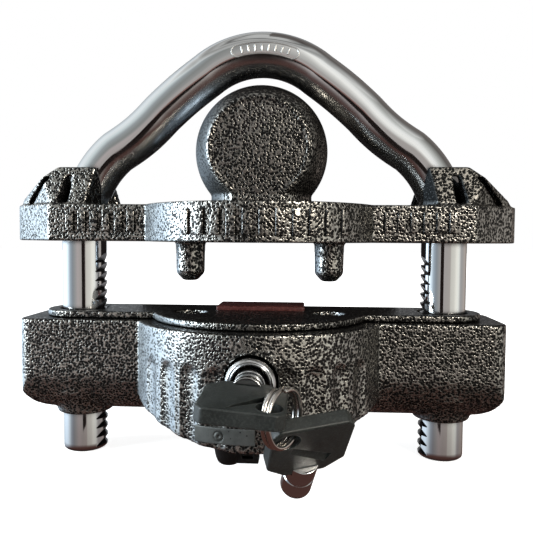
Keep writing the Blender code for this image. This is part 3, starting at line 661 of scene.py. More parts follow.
def turned_metal(name, tint, rough=0.28):
    """Machined metal: fine lines, stains and small pits."""
    metal = Material(name)
    lines = metal.noise(scale=1500.0, rough=0.65, vector=metal.stretch(1.0, 0.06, 1.0))
    stain = metal.noise(scale=130.0, detail=4.0, rough=0.6)
    pits = metal.voronoi(scale=700.0)
    colour = metal.mix(metal.map(stain, span=(0.35, 0.75), to=(0.0, 0.4)),
                       tint, scaled(tint, 0.45))
    brighter = tuple(min(1.0, channel) for channel in scaled(tint, 1.25))
    colour = metal.mix(metal.map(lines, span=(0.35, 0.7), to=(0.0, 0.35)), colour, brighter)
    roughness = metal.plus(metal.map(stain, span=(0.3, 0.8), to=(rough, rough + 0.18)),
                           metal.map(lines, span=(0.3, 0.8), to=(-0.04, 0.08)))
    normal = metal.bump(lines, strength=0.12, distance=0.00012)
    normal = metal.bump(metal.map(pits, span=(0.0, 0.12)), strength=0.08, distance=0.0001,
                        normal=normal)
    metal.set(Base_Color=colour, Metallic=1.0, Roughness=roughness, Normal=normal)
    return metal.mat


def plastic(name, tint, worn, rough=0.36):
    """Satin moulded plastic with a fine grain, rubbed to the worn colour on its edges."""
    mould = Material(name)
    grain = mould.noise(scale=2600.0, rough=0.7)
    cloud = mould.noise(scale=160.0, detail=4.0, rough=0.6)
    mottle = mould.noise(scale=1500.0, detail=2.0, rough=0.6)
    wear = mould.times(mould.map(mould.edge(0.00045), span=(0.02, 0.20), smooth=True),
                       mould.map(mould.noise(scale=420.0, rough=0.7), span=(0.40, 0.62)))
    dust = mould.times(mould.map(mould.voronoi(scale=520.0), span=(0.10, 0.05)),
                       mould.map(mould.noise(scale=60.0), span=(0.5, 0.62), to=(0.0, 0.7)))
    colour = mould.mix(mould.map(cloud, span=(0.3, 0.75)), tint, scaled(tint, 1.7))
    colour = mould.mix(mould.math("MAXIMUM", mould.times(wear, 0.75), dust), colour, worn)
    colour = mould.mix(mould.map(mottle, span=(0.46, 0.64), to=(0.0, 0.75), smooth=True),
                       colour, scaled(tint, 2.8))
    roughness = mould.plus(mould.map(cloud, span=(0.3, 0.7), to=(rough - 0.06, rough + 0.14)),
                           mould.times(wear, -0.08))
    normal = mould.bump(grain, strength=0.30, distance=0.00014)
    normal = mould.bump(mottle, strength=0.25, distance=0.00012, normal=normal)
    mould.set(Base_Color=colour, Metallic=0.0, Roughness=roughness, Normal=normal, IOR=1.52)
    return mould.mat


HAMMER = hammertone("hammertone_paint")
HAMMER_RELIEF = hammertone("hammertone_relief", cell=0.84, silver=(0.205, 0.196, 0.180),
                           level=0.45, shade_sideways=True)
CHROME = chrome("chrome_plate", film=0.20)
CHROME_STAMP = chrome("chrome_stamp", tint=(0.52, 0.52, 0.515), rough=0.26, grime=0.8)
CHROME_LOCK = chrome("chrome_lock", tint=(0.78, 0.79, 0.80), rough=0.07, grime=0.8, nook_amount=0.5)
RING_METAL = chrome("nickel_wire", tint=(0.78, 0.74, 0.70), rough=0.09, grime=0.8, nook_amount=0.3)
STEEL = turned_metal("bare_steel", tint=(0.50, 0.50, 0.49))
BRASS = turned_metal("lock_brass", tint=(0.60, 0.42, 0.17), rough=0.26)
ZINC = turned_metal("zinc_screw", tint=(0.56, 0.55, 0.50), rough=0.34)
SPRING = turned_metal("spring_steel", tint=(0.33, 0.33, 0.33), rough=0.30)
PLASTIC = plastic("key_plastic", tint=(0.0105, 0.0125, 0.0120), worn=(0.16, 0.17, 0.165))
SMOOTH_DARK = smooth_paint("smooth_dark_paint", tint=(0.020, 0.017, 0.016))
SMOOTH_GREY = smooth_paint("smooth_grey_paint", tint=(0.125, 0.130, 0.125), rough=0.46)
# painted reflection: the pad's dark red-brown tint stands in for a warm reflection on its glossy top
PAD_RED_REFLECTION = plastic("seat_pad_red_reflection", tint=(0.055, 0.016, 0.014), worn=(0.20, 0.11, 0.10), rough=0.24)


def dress(obj, material):
    obj.data.materials.clear()
    obj.data.materials.append(material)


def keep(obj, name):
    """Moves a finished object from the scratch collection to the scene."""
    SCRATCH.objects.unlink(obj)
    bpy.context.scene.collection.objects.link(obj)
    obj.name = name


def piece(obj, name, body, material, slot, *replaced):
    keep(obj, name)
    obj.data.name = name
    dress(obj, material)
    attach(obj, body)
    if replaced:
        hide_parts(*replaced)
    return obj


# ================================================================================================
# Shackle
# ================================================================================================
FOOT_ROUNDING = ((0.0, 1.1), (0.25, 0.6), (0.7, 0.15))     # height above the foot, radius lost
STAMP_A, STAMP_B = 12.4, 2.0                               # oval's half length and half width
STAMP_ALONG, STAMP_UP = 1.6, 0.35                          # its middle, from the crown's middle


def shackle_points():
    """The right half of the centreline as (x, z), foot to crown."""
    turn = math.pi / 2 - SLOPE
    points = [(LEG_X, LEG_BOTTOM + height) for height, _ in FOOT_ROUNDING]
    points += [(LEG_X, LEG_BOTTOM + (LEG_TOP - LEG_BOTTOM) * i / 60) for i in range(1, 61)]
    bend_x = LEG_X - BEND_R
    points += [(bend_x + BEND_R * math.cos(turn * i / 30), LEG_TOP + BEND_R * math.sin(turn * i / 30))
               for i in range(1, 31)]
    x0, z0 = points[-1]
    crown_centre = CROWN_Z - CROWN_R
    x1 = CROWN_R * math.cos(turn)
    z1 = crown_centre + CROWN_R * math.sin(turn)
    for i in range(1, 26):
        t = i / 26
        # the straight runs hollow near the leg and full near the crown, as a bent bar's does
        bow = -(0.85 if t < 0.5 else 0.4) * math.sin(2 * math.pi * t)
        points.append((x0 + (x1 - x0) * t + bow * math.cos(turn),
                       z0 + (z1 - z0) * t + bow * math.sin(turn)))
    angles = [turn + SLOPE * i / 30 for i in range(31)]
    points += [(CROWN_R * math.cos(a), crown_centre + CROWN_R * math.sin(a)) for a in angles]
    return points


def tooth_outline(side):
    """The notches cut into a leg's inner... face nearest x = 0 at LEG_X - LEG_R, as (x, z)."""
    face = LEG_X - LEG_R
    points = [(face - 4.0, TOOTH_Z0 - TEETH_BELOW * PITCH)]
    for k in range(-TEETH_BELOW, TEETH - TEETH_BELOW):
        z = TOOTH_Z0 + k * PITCH
        if k > -TEETH_BELOW:
            points += [(face - 0.3, z - 0.02), (face + 0.12, z - 0.02), (face + 0.30, z)]
        else:
            points.append((face + 0.3, z))
        points += [(face + TOOTH - 0.30, z), (face + TOOTH - 0.05, z + 0.10),
                   (face + TOOTH, z + 0.34)]
    z = TOOTH_Z0 + (TEETH - TEETH_BELOW) * PITCH
    points += [(face - 0.02, z), (face - 4.0, z)]
    return flip(side, points)


def shackle_bar():
    half = shackle_points()
    line = [(x, 0, z) for x, z in half] + [(-x, 0, z) for x, z in reversed(half[:-1])]
    foot = [LEG_R - lost for _, lost in FOOT_ROUNDING]
    radii = foot + [LEG_R] * (len(line) - 2 * len(foot)) + foot[::-1]
    bar = sweep("shackle_bar", line, LEG_R, sides=96, radii=radii)
    cut(bar, *[plate(tooth_outline(side), -9.0, 9.0, axis="Y") for side in SIDES])
    shade(bar.data, 22)
    return bar


def on_crown(along, across, lift):
    """A point on the front of the crown: mm along the bar, and mm up round the section."""
    t = (along + STAMP_ALONG) / (CROWN_R + LEG_R * 0.2)
    v = (across + STAMP_UP) / LEG_R
    radius = CROWN_R + (LEG_R + lift) * math.sin(v)
    return Vector((radius * math.sin(t), -(LEG_R + lift) * math.cos(v),
                   CROWN_Z - CROWN_R + radius * math.cos(t)))


def crown_stamp():
    """A raised oval outline on the crown's front with eight plain bars in it."""
    oval = []
    straight = STAMP_A - STAMP_B
    for side in SIDES:
        for k in range(41):
            angle = math.pi * k / 40
            oval.append((side * (straight + STAMP_B * math.sin(angle)),
                         side * STAMP_B * math.cos(angle)))
        oval += [(side * straight * (1 - 2 * k / 60), -side * STAMP_B) for k in range(1, 60)]
    line = [on_crown(along, across, lift=-0.16) for along, across in oval]
    stamp = sweep("crown_stamp", line + line[:2], 0.32, sides=10, smooth=60)
    for k in range(8):
        along = -8.6 + 17.2 * k / 7
        line = [on_crown(along, -1.05 + 2.1 * i / 8, lift=-0.12) for i in range(9)]
        tick = sweep("tick", line, 0.42, sides=10)
        shape = bmesh.new()
        shape.from_mesh(stamp.data)
        shape.from_mesh(tick.data)
        shape.to_mesh(stamp.data)
        shape.free()
        bpy.data.objects.remove(tick, do_unlink=True)
    shade(stamp.data, 60)
    return stamp


shackle = piece(shackle_bar(), "shackle_bar", "shackle", CHROME, "chrome_plate", "shackle")
piece(crown_stamp(), "crown_stamp", "shackle", CHROME_STAMP, "chrome_plate")

# ================================================================================================
# Ball bracket.  Tables are for the right side.
# ================================================================================================
TOWER = [      # (x, z)
    (89.4, 33.0), (89.4, 36.1), (72.4, 48.5), (71.2, TOWER_TOP), (58.0, TOWER_TOP),
    (54.6, 36.0), (53.8, 33.0)]
TOWER_FRONT = [      # (y, z) of what the leaning front loses
    (-15.9, 36.0), (-10.9, TOWER_TOP), (-10.6, 50.5), (-30.0, 50.5), (-30.0, 36.0)]
TOWER_FRONT_CORNER = [      # (x, y, z) of what the inner end loses at the front
    (62.7, -20.0, 36.1), (59.6, -13.2, 50.2), (55.9, -8.5, 36.1), (55.9, -8.5, 50.2),
    (48.0, -20.0, 36.1), (48.0, -20.0, 50.2), (48.0, -8.5, 36.1), (48.0, -8.5, 50.2)]
TOWER_BACK_CORNER = [(48.0, 36.1), (55.4, 36.1), (60.0, 50.2), (48.0, 50.2)]      # (x, z)
LEG_RAMP = [      # (x, z) of the room for the leg's bend
    (40, 20), (53.4, 30.5), (49.6, 38), (46.0, 46), (44.0, 60), (90, 60), (90, 20)]
WINDOW = [(66.2, 36.6), (70.2, 36.6), (67.9, 46.2), (65.4, 46.2)]      # (x, z)
OUTER_NOTCH = [      # (x, y, z), slanting down the tower's outer front
    (81.6, -5.9, 36.2), (84.6, -4.0, 36.2), (81.6, -16.0, 36.2), (84.6, -16.0, 36.2),
    (73.2, -9.7, 46.0), (75.1, -8.7, 46.0), (73.2, -20.0, 46.0), (75.1, -20.0, 46.0)]
BALL_FOOT = [      # (radius, z)
    (0, 35.0), (20.4, 35.0), (19.9, 36.1), (19.1, 36.6), (18.5, 37.2), (18.2, 38.2),
    (17.6, 38.6), (0, 38.6)]
PIN = [      # (radius, height from the bracket's underside)
    (0, 4.0), (PIN_R + 0.2, 4.0), (PIN_R + 0.2, 0.0), (PIN_R + 0.1, -0.7), (PIN_R, -1.4),
    (PIN_R - 0.15, -PIN_LEN + 3.1), (PIN_R - 0.6, -PIN_LEN + 2.2), (2.7, -PIN_LEN + 0.25),
    (2.0, -PIN_LEN), (0, -PIN_LEN)]
RELIEF_ROWS = (      # first x, last x, number of bars, bottom z, top z
    (-67.0, -41.5, 6, 26.6, 33.6), (-23.5, 30.5, 11, 25.6, 33.8), (41.5, 67.0, 6, 26.6, 33.6))


def bracket_plan(inset=0.0):
    """The bracket from above: a round middle with arms that taper at the front."""
    front = BRACKET_FRONT + inset
    back = 15.0 - inset
    end = BRACKET_HALF - inset
    radius = BRACKET_R - inset
    meet = math.degrees(math.acos(-front / radius))
    points = [front_point(radius, meet * i / 40) for i in range(41)]
    points += [(72.5 - inset * 0.3, front + 0.15), (88.0 - inset, -4.5), (end, 0.0)]
    points += [(end, back - 5.0), (end - 5.0, back)]
    return full(points)


def bracket_tower(side):
    """The raised block over one leg; its front leans back, its inner end is slanted."""
    tower = plate(flip(side, TOWER), -15.8, 13.0, axis="Y")
    common(tower, plate(bracket_plan(inset=1.2), 28.0, 56.0))
    cut(tower, plate(TOWER_FRONT, *sorted((side * 45.0, side * 95.0)), axis="X"))
    back = [(x, y, z) for x, z in TOWER_BACK_CORNER for y in (6.0, 20.0)]
    return cut(tower, hull(flip(side, TOWER_FRONT_CORNER)), hull(flip(side, back)))


def bracket_ball():
    """The ball on its neck, cut flat at the front, with a narrow raised rim round the flat."""
    body = ball(BALL_R, (0, 0, BALL_Z))
    join(body, rod(18.15, 5.0, (0, 0, 37.6), sides=96))
    cut(body, box((-30, -40, 20), (30, -BALL_FLAT, 90)))
    rim_r = math.sqrt(BALL_R ** 2 - BALL_FLAT ** 2) - 0.9
    rim = [(math.sin(math.radians(a)) * rim_r, -BALL_FLAT + 0.12,
            BALL_Z + math.cos(math.radians(a)) * rim_r) for a in range(-146, 147, 4)]
    return join(body, sweep("rim", rim, 0.55, sides=12))


def bracket_casting():
    bracket = plate(bracket_plan(), BRACKET_Z0, BRACKET_Z1)
    for side in SIDES:
        join(bracket, bracket_tower(side))
    join(bracket, bracket_ball())
    foot = turned(BALL_FOOT)
    join(bracket, cut(foot, box((-30, -40, 30), (30, -BALL_FLAT - 0.25, 40))))
    slot_r = BORE_R + 0.2
    for side in SIDES:
        join(bracket, turned(PIN, (side * PIN_X, PIN_Y, BRACKET_Z0), steps=48))
        hole = arc(LEG_X, 0, BORE_R, -90, 90, 30) + arc(LEG_X - 3.2, 0, BORE_R, 90, 270, 30)
        cut(bracket, plate(flip(side, hole), 20.0, 37.0))
        slot = arc(LEG_X, 0, slot_r, -90, 90, 30) + [(45.7, slot_r), (45.7, -BORE_R - 0.2)]
        bend_room = plate(flip(side, slot), 31.0, 56.0)
        common(bend_room, plate(flip(side, LEG_RAMP), -20, 20, axis="Y"))
        cut(bracket, bend_room)
        cut(bracket, plate(flip(side, WINDOW), -18.0, -6.0, axis="Y"))
        cut(bracket, hull(flip(side, OUTER_NOTCH)))
    return cast_skin(bracket, 0.50, 2)


def arm_relief():
    """Rows of plain raised bars on the bracket's front."""
    shape = bmesh.new()
    for start, end, count, low, high in RELIEF_ROWS:
        step = (end - start) / count
        for k in range(count):
            x = start + step * (k + 0.5)
            half_width = step * 0.31
            curved = abs(x) < 38.4
            y = -math.sqrt(BRACKET_R ** 2 - x * x) if curved else BRACKET_FRONT
            turn = Matrix.Rotation(math.atan2(x, -y) if curved else 0.0, 4, "Z")
            place = Matrix.Translation((x, y, (low + high) / 2)) @ turn \
                @ Matrix.Translation((0, 0.15, 0))
            made = bmesh.ops.create_cube(shape, size=1.0)["verts"]
            bmesh.ops.scale(shape, vec=(2 * half_width, 2.0, high - low), verts=made)
            bmesh.ops.transform(shape, matrix=place, verts=made)
    return bevel(new_object("arm_relief", shape), 0.28, 3, smooth=60)


bracket_piece = bracket_casting()
piece(arm_relief(), "arm_relief", "ball_bracket", HAMMER_RELIEF, "hammertone_paint")
piece(bracket_piece, "ball_bracket_casting", "ball_bracket", HAMMER, "hammertone_paint",
      "ball_bracket")

# ================================================================================================
# Base housing
# ================================================================================================
R_CORNER, R_END, R_UNDER, R_BACK = 5.0, 12.5, 15.5, 5.0     # plan, bar ends, front and back below
LEG_BOSS = [      # (radius, z), under each leg
    (0, -28.0), (15.2, -28.0), (14.6, -31.2), (12.6, -33.0), (11.2, -35.0), (10.3, -37.4),
    (9.9, -39.4), (9.6, -39.7), (0, -39.7)]
PIN_BOSS = [      # (radius, z), round the small hole
    (0, -34.0), (5.5, -34.0), (5.1, -41.0), (4.3, -45.2), (3.6, -46.9), (2.8, -47.5), (0, -47.6)]
PLUG = [      # (radius, depth)
    (0, 1.4), (1.35, 1.4), (1.35, -0.35), (0.95, -0.6), (0.55, -0.6), (0.45, -0.2), (0, -0.2)]
PLUG_X = -9.6


def above_underside(lift=0.0):
    """Everything above the bulge's arched underside."""
    steps = [1.5 * i for i in range(33)]
    under = [(x, BULGE_BOTTOM + lift + BULGE_ARC - math.sqrt(BULGE_ARC ** 2 - x * x))
             for x in steps]
    return plate(full(under + [(48.0, 4.0), (0.0, 4.0)]), -60, 40, axis="Y")


def small_hole(z=-32.0, length=40.0, radius=SMALL_HOLE_R, sides=24):
    return rod(radius, length, (SMALL_HOLE_X, SMALL_HOLE_Y, z), sides=sides)


def flute(degrees):
    """A round-topped upright cutter that runs out below."""
    shape = bmesh.new()
    bmesh.ops.create_uvsphere(shape, u_segments=96, v_segments=48, radius=FLUTE_R)
    for vertex in shape.verts:
        if vertex.co.z < -1e-4:
            if vertex.co.xy.length > 1e-4:
                vertex.co.xy = Vector((vertex.co.x, vertex.co.y)).normalized() * FLUTE_R
            vertex.co.z = -40.0
    bmesh.ops.remove_doubles(shape, verts=shape.verts, dist=1e-4)
    bmesh.ops.dissolve_degenerate(shape, dist=1e-4, edges=shape.edges)
    x, y = front_point(BULGE_R - FLUTE_DEPTH + FLUTE_R, degrees)
    return new_object("flute", shape, location=(x, y, FLUTE_Z))


def groove(degrees):
    cutter = box((-0.32, -0.75, -39.0), (0.32, 2.0, -14.0))
    x, y = front_point(BULGE_R, degrees)
    place = Matrix.Translation((x * MM, y * MM, 0))
    cutter.data.transform(place @ Matrix.Rotation(math.radians(degrees), 4, "Z"))
    return cutter


def housing_bar():
    plan = [(0.0, -BAR_Y)]
    plan += arc(BAR_HALF - R_CORNER, -BAR_Y + R_CORNER, R_CORNER, -90, 0, 12)
    plan += arc(BAR_HALF - R_CORNER, BAR_Y - R_CORNER, R_CORNER, 0, 90, 12) + [(0.0, BAR_Y)]
    bar = plate(full(plan), BAR_BOTTOM, BAR_TOP)
    front_view = [(0.0, BAR_BOTTOM)]
    front_view += arc(BAR_HALF - R_END, BAR_BOTTOM + R_END, R_END, -90, 0, 16)
    front_view += [(BAR_HALF, 4.0), (0.0, 4.0)]
    common(bar, plate(full(front_view), -30, 30, axis="Y"))
    side_view = arc(-BAR_Y + R_UNDER, BAR_BOTTOM + R_UNDER, R_UNDER, 180, 270, 16)
    side_view += arc(BAR_Y - R_BACK, BAR_BOTTOM + R_BACK, R_BACK, -90, 0, 8)
    side_view += [(BAR_Y, 4.0), (-BAR_Y, 4.0)]
    return common(bar, plate(side_view, -100, 100, axis="X"))


def housing_bulge():
    """The round middle, with flutes and thin grooves between them."""
    plan = [front_point(BULGE_R, 1.75 * i) for i in range(53)]
    bulge = plate(full(plan + [(BULGE_R - 3.0, 14.5), (0.0, 14.5)]), BULGE_BOTTOM, BAR_TOP)
    common(bulge, above_underside())
    for degrees in FLUTES:
        cut(bulge, flute(degrees))
    for degrees in GROOVES:
        cut(bulge, groove(degrees))
    return bulge


def pin_boss():
    boss = turned(PIN_BOSS, (SMALL_HOLE_X, SMALL_HOLE_Y, 0), steps=64)
    join(boss, box((-5.0, -33.3, -46.8), (1.8, -27.7, -34.0)))
    cut(boss, box((-3.4, -36.0, -45.2), (0.2, -31.6, -38.6)), small_hole())
    return cast_skin(boss, 0.25, 3, 60000)


def base_casting():
    housing = join(housing_bar(), housing_bulge())
    for side in SIDES:
        join(housing, turned(LEG_BOSS, (side * LEG_X, 0, 0), steps=72))
    # the middle chamber and a channel across both legs
    cut(housing, box((-36.0, -8.0, -33.0), (36.0, 8.0, 2.0)))
    cut(housing, box((-60.0, -4.6, LOCK_Z - 5.6), (60.0, 4.6, LOCK_Z + 5.6)))
    for side in SIDES:
        cut(housing, rod(BORE_R + 0.1, 60.0, (side * LEG_X, 0, -20)),
            rod(PIN_HOLE_R, 24.0, (side * PIN_X, PIN_Y, -6.0), sides=48))
    cut(housing, rod(8.3, 48.0, (0, -30.0, LOCK_Z), AXIS_Y))
    cut(housing, small_hole())
    # one wall in each half of the chamber
    join(housing, box((-19.5, -9.0, -34.0), (-17.5, 9.0, LOCK_Z - 0.35)))
    join(housing, box((17.5, -9.0, LOCK_Z + 0.35), (19.5, 9.0, LOCK_Z + 6.0)))
    for screw in SCREWS:
        cut(housing, rod(1.9, 50.0, (screw.x, screw.y, -20.0), sides=24),
            rod(3.6, 14.0, (screw.x, screw.y, -38.0), sides=32))
    return cast_skin(housing, 0.56, 2)


def front_band():
    """The smooth band low on the front, in front of the boss, with a small plug in it."""
    rows = ((BULGE_R + 0.28, range(-23, 3)), (BULGE_R - 2.6, range(2, -24, -1)))
    band = [front_point(radius, degrees) for radius, angles in rows for degrees in angles]
    patch = common(plate(band, -37.3, -32.3), above_underside(lift=0.15))
    plug_y = -math.sqrt(BULGE_R ** 2 - PLUG_X ** 2)
    cut(patch, rod(1.7, 1.4, (PLUG_X, plug_y + 0.2, -34.9), AXIS_Y, sides=32))
    join(patch, turned(PLUG, (PLUG_X, plug_y + 0.45, -34.9), AXIS_Y, steps=32))
    return cast_skin(patch, 0.2, 2, 60000)


piece(pin_boss(), "pin_boss_casting", "base", SMOOTH_DARK, "hammertone_paint")
piece(front_band(), "front_band", "base", SMOOTH_GREY, "hammertone_paint")
piece(base_casting(), "base_casting", "base", HAMMER, "hammertone_paint", "base_housing")


# ================================================================================================
# Base cover, seat pad and lock face
# ================================================================================================
def base_lid():
    meet = math.degrees(math.acos((COVER_END_R + 0.1) / COVER_R))
    plan = [front_point(COVER_R, meet * i / 48) for i in range(49)]
    plan += arc(LEG_X, 0, COVER_END_R, -90, 90, 32) + [(0.0, COVER_END_R)]
    cover = plate(full(plan), COVER_BOTTOM - 0.2, COVER_TOP)
    bevel(cover, 0.42, 3, over_angle=60)
    for side in SIDES:
        cut(cover, rod(8.8, 12.0, (side * LEG_X, 0, -3)),
            rod(PIN_HOLE_R, 12.0, (side * PIN_X, PIN_Y, -3), sides=48))
    for screw in SCREWS:
        cut(cover, rod(1.85, 3.0, (screw.x, screw.y, COVER_BOTTOM), sides=24))
    return cast_skin(cover, 0.36, 2, 120000)


def seat_pad():
    pad = box((-16.0, -4.0, COVER_TOP - 0.5), (16.0, 12.4, COVER_HIGH.z))
    bevel(pad, 0.6, 4, smooth=50)
    fine = pad.modifiers.new("fine", "SUBSURF")
    fine.subdivision_type = "SIMPLE"
    fine.levels = fine.render_levels = 2
    return bake(pad, 50)


def lock_bezel():
    profile = [(SHELL_R, SHELL_BACK), (SHELL_R, SHELL_FRONT + 1.1), (SHELL_R - 0.8, SHELL_FRONT),
               (SHELL_BORE + 1.0, SHELL_FRONT + 0.1), (SHELL_BORE, SHELL_FRONT + 1.5),
               (SHELL_BORE, SHELL_BACK)]
    bezel = turned(rounded(profile, 0.35), (0, 0, LOCK_Z), AXIS_Y, steps=128)
    cut(bezel, small_hole(LOCK_Z, radius=1.9, sides=32),
        rod(0.95, 6.0, (0, -31.0, LOCK_Z + 7.0), sides=20))
    shade(bezel.data, 30)
    return bezel


piece(base_lid(), "base_lid", "base", HAMMER, "hammertone_paint", "base_cover")
piece(seat_pad(), "seat_pad", "base", PAD_RED_REFLECTION, "hammertone_paint")
piece(lock_bezel(), "lock_bezel", "base", CHROME_LOCK, "chrome_plate", "lock_shell")

# ================================================================================================
# Keys and split ring
# ================================================================================================
KEY_OUTLINE = [      # (x, y)
    (-11.5, -5.0), (-6.0, 0.0), (6.0, 0.0), (11.5, -5.0), (11.5, -21.5), (9.5, -HEAD_LEN),
    (-9.5, -HEAD_LEN), (-11.5, -21.5)]
KEY_RECESSES = {      # (x, y) corners; their depths on the +z face; their depths on the -z face
    1: (((-3.6, -22.6), (-2.2, -19.8), (5.2, -11.2), (6.2, -14.6)),
        (2.3, 1.9, 1.9, 2.3), (0.8, 0.5, 0.5, 0.8)),
    2: (((-6.8, -8.6), (-5.2, -5.2), (5.8, -12.6), (5.2, -15.4)),
        (1.3, 0.05, 0.05, 1.3), (1.3, 0.05, 0.05, 1.3)),
}
KEY_TUBE = [      # (radius, y), with a groove round the outside and a hollow tip
    (0, 5.0), (3.1, 5.0), (3.1, 13.0), (TUBE_R, 13.0), (TUBE_R, 5.7), (4.35, 5.3), (4.35, 4.5),
    (TUBE_R, 4.1), (TUBE_R, -3.2), (0, -3.2)]
UP = Vector((0, 0, 1))


def on_ring(angle):
    return RING_C + RING_R * (math.cos(angle) * RING_T + math.sin(angle) * UP)


def inserted_key_frame():
    place = Matrix.Translation((0, KEY_HEAD_HIGH.y, LOCK_Z))
    return place @ Matrix.Rotation(KEY_TILT, 4, "Y")


def spare_key_frame():
    """The spare key hangs from the ring, tip towards the back and down."""
    blade = Vector((-0.13, 0.67, -0.73)).normalized()
    across = Vector((0.949, 0.30, 0.10))
    across = (across - across.dot(blade) * blade).normalized()
    face = (-across).cross(blade).normalized()
    turn = Matrix((-across, blade, face)).transposed()
    hole = turn @ Vector((RING_HOLE[0], RING_HOLE[1], 0))
    return Matrix.Translation(on_ring(HANG) + Vector((-1.0, 0.0, 0.8)) - hole) @ turn.to_4x4()


def in_frame(obj, key_frame):
    place = key_frame.copy()
    place.translation = place.translation * MM
    obj.data.transform(place)


def key_head(number):
    head = plate(KEY_OUTLINE, -HEAD_T / 2, HEAD_T / 2)
    bevel(head, 0.7, 3, over_angle=30)
    cut(head, rod(3.6, 20.0, (RING_HOLE[0], RING_HOLE[1], 0), sides=48))
    # a slanted recess with a sloping floor on each face
    corners, *face_depths = KEY_RECESSES[number]
    for face, depths in zip((1, -1), face_depths):
        surface = face * HEAD_T / 2
        cut(head, hull([(x, y, z) for (x, y), depth in zip(corners, depths)
                        for z in (surface - face * depth, surface + face * 1.0)]))
    # the bow thins towards its outer end
    for vertex in head.data.vertices:
        vertex.co.z *= 1.0 - 0.23 * max(0.0, min(1.0, -vertex.co.y / (HEAD_LEN * MM)))
    if number == 1:      # and the inserted key's bow hangs a little
        head.data.transform(Matrix.Rotation(math.radians(1.9), 4, "X"))
    return head


def key_tube():
    tube = turned(rounded(KEY_TUBE, 0.22), rotation=AXIS_Y)
    half = HEAD_T / 2 + 0.05
    cut(tube, box((-6.0, -6.0, -half), (6.0, 0.1, half)))
    shade(tube.data, 30)
    return tube


def build_key(number, body, key_frame):
    head = key_head(number)
    in_frame(head, key_frame)
    if number == 2:      # clears the ring's wire
        tangent = -math.sin(HANG) * RING_T + math.cos(HANG) * UP
        turn = tangent.to_track_quat("Z", "Y").to_matrix()
        cut(head, rod(2.8, 18.0, on_ring(HANG), turn, sides=48))
    shade(head.data, 40)
    even = head.modifiers.new("even", "WEIGHTED_NORMAL")
    even.mode = "FACE_AREA"
    even.keep_sharp = True
    even.weight = 90
    piece(head, "key_%d_grip" % number, body, PLASTIC, "key_plastic", "key_%d_head" % number)
    tube = key_tube()
    in_frame(tube, key_frame)
    piece(tube, "key_%d_barrel" % number, body, CHROME_LOCK, "chrome_plate",
          "key_%d_tube" % number)


def split_ring():
    """Two turns of wire with thinner ends."""
    per_turn = 96
    points = []
    for i in range(2 * per_turn + 1):
        angle = 2 * math.pi * i / per_turn + math.radians(100.0)
        points.append(on_ring(angle) + RING_N * (RING_STEP * (i / per_turn - 1.0)))
    radii = [WIRE_R] * len(points)
    radii[0] = radii[-1] = WIRE_R * 0.6
    return sweep("split_ring", points, WIRE_R, sides=20, smooth=50, radii=radii)


build_key(1, "key", inserted_key_frame())
build_key(2, "spare_key", spare_key_frame())
piece(split_ring(), "split_ring", "ring", RING_METAL, "bare_steel", "key_ring")

# ================================================================================================
# Inside pieces
# ================================================================================================
INSIDE_LOOKS = (      # start of the piece's name, material
    ("lock_bushing", BRASS), ("bushing_pin", STEEL), ("lock_retaining_pin", STEEL),
    ("lock_plug", STEEL), ("lock_spindle", STEEL), ("cam_disc", STEEL), ("cam_pin_top", STEEL),
    ("cam_pin_bottom", STEEL), ("cam_screw", ZINC), ("pawl_left", STEEL), ("pawl_right", STEEL))
NUMBERED_LOOKS = (
    ("key_pin_", BRASS), ("driver_pin_", STEEL), ("pin_spring_", SPRING), ("cover_screw_", ZINC))


def inside_look(name):
    for start, look in NUMBERED_LOOKS:
        if name.startswith(start):
            return look
    return dict(INSIDE_LOOKS).get(name)


def pawl_spring(label):
    """A coil along X that spans the pawl spring's box."""
    low, high = mm_box("pawl_spring_" + label)
    middle_z = (low.z + high.z) / 2
    coil_r, wire, turns, per_turn = 1.75, 0.28, 6, 40
    points = []
    for i in range(turns * per_turn + 1):
        angle = 2 * math.pi * i / per_turn
        t = i / (turns * per_turn)
        points.append((low.x + wire + (high.x - low.x - 2 * wire) * t,
                       coil_r * math.cos(angle), middle_z + coil_r * math.sin(angle)))
    spring = sweep("pawl_spring", points, wire, sides=12, smooth=50)
    keep(spring, "pawl_spring_%s_coil" % label)
    dress(spring, SPRING)
    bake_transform(spring)
    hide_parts("pawl_spring_" + label)


for name, obj in NODES.items():
    look = inside_look(name)
    if look is None:
        continue
    if len(obj.material_slots) == 0:
        obj.data.materials.append(look)
    else:
        for slot in obj.material_slots:
            slot.material = look

for label in ("left", "right"):
    pawl_spring(label)

bpy.data.collections.remove(SCRATCH)

# ================================================================================================
# Floor and reflected boards
# ================================================================================================
scene = bpy.context.scene
# name, corners in mm, colour: one board behind the middle, a dark sheet that paints in the shade the
# object casts on itself in reflections, two in front that the chrome mirrors
BOARDS = (
    ("board_behind", [(-58, 42, -75), (58, 42, -75), (52, 42, 112), (-52, 42, 112)],
     (0.012, 0.010, 0.010)),
    ("board_camera", [(-54, -246, -120), (24, -246, -120), (24, -246, 62), (-54, -246, 62)],
     (0.014, 0.010, 0.009)),
    ("board_camera_top", [(-50, -246, 62), (22, -246, 62), (16, -246, 80), (-44, -246, 80)],
     (0.25, 0.15, 0.13)),
)


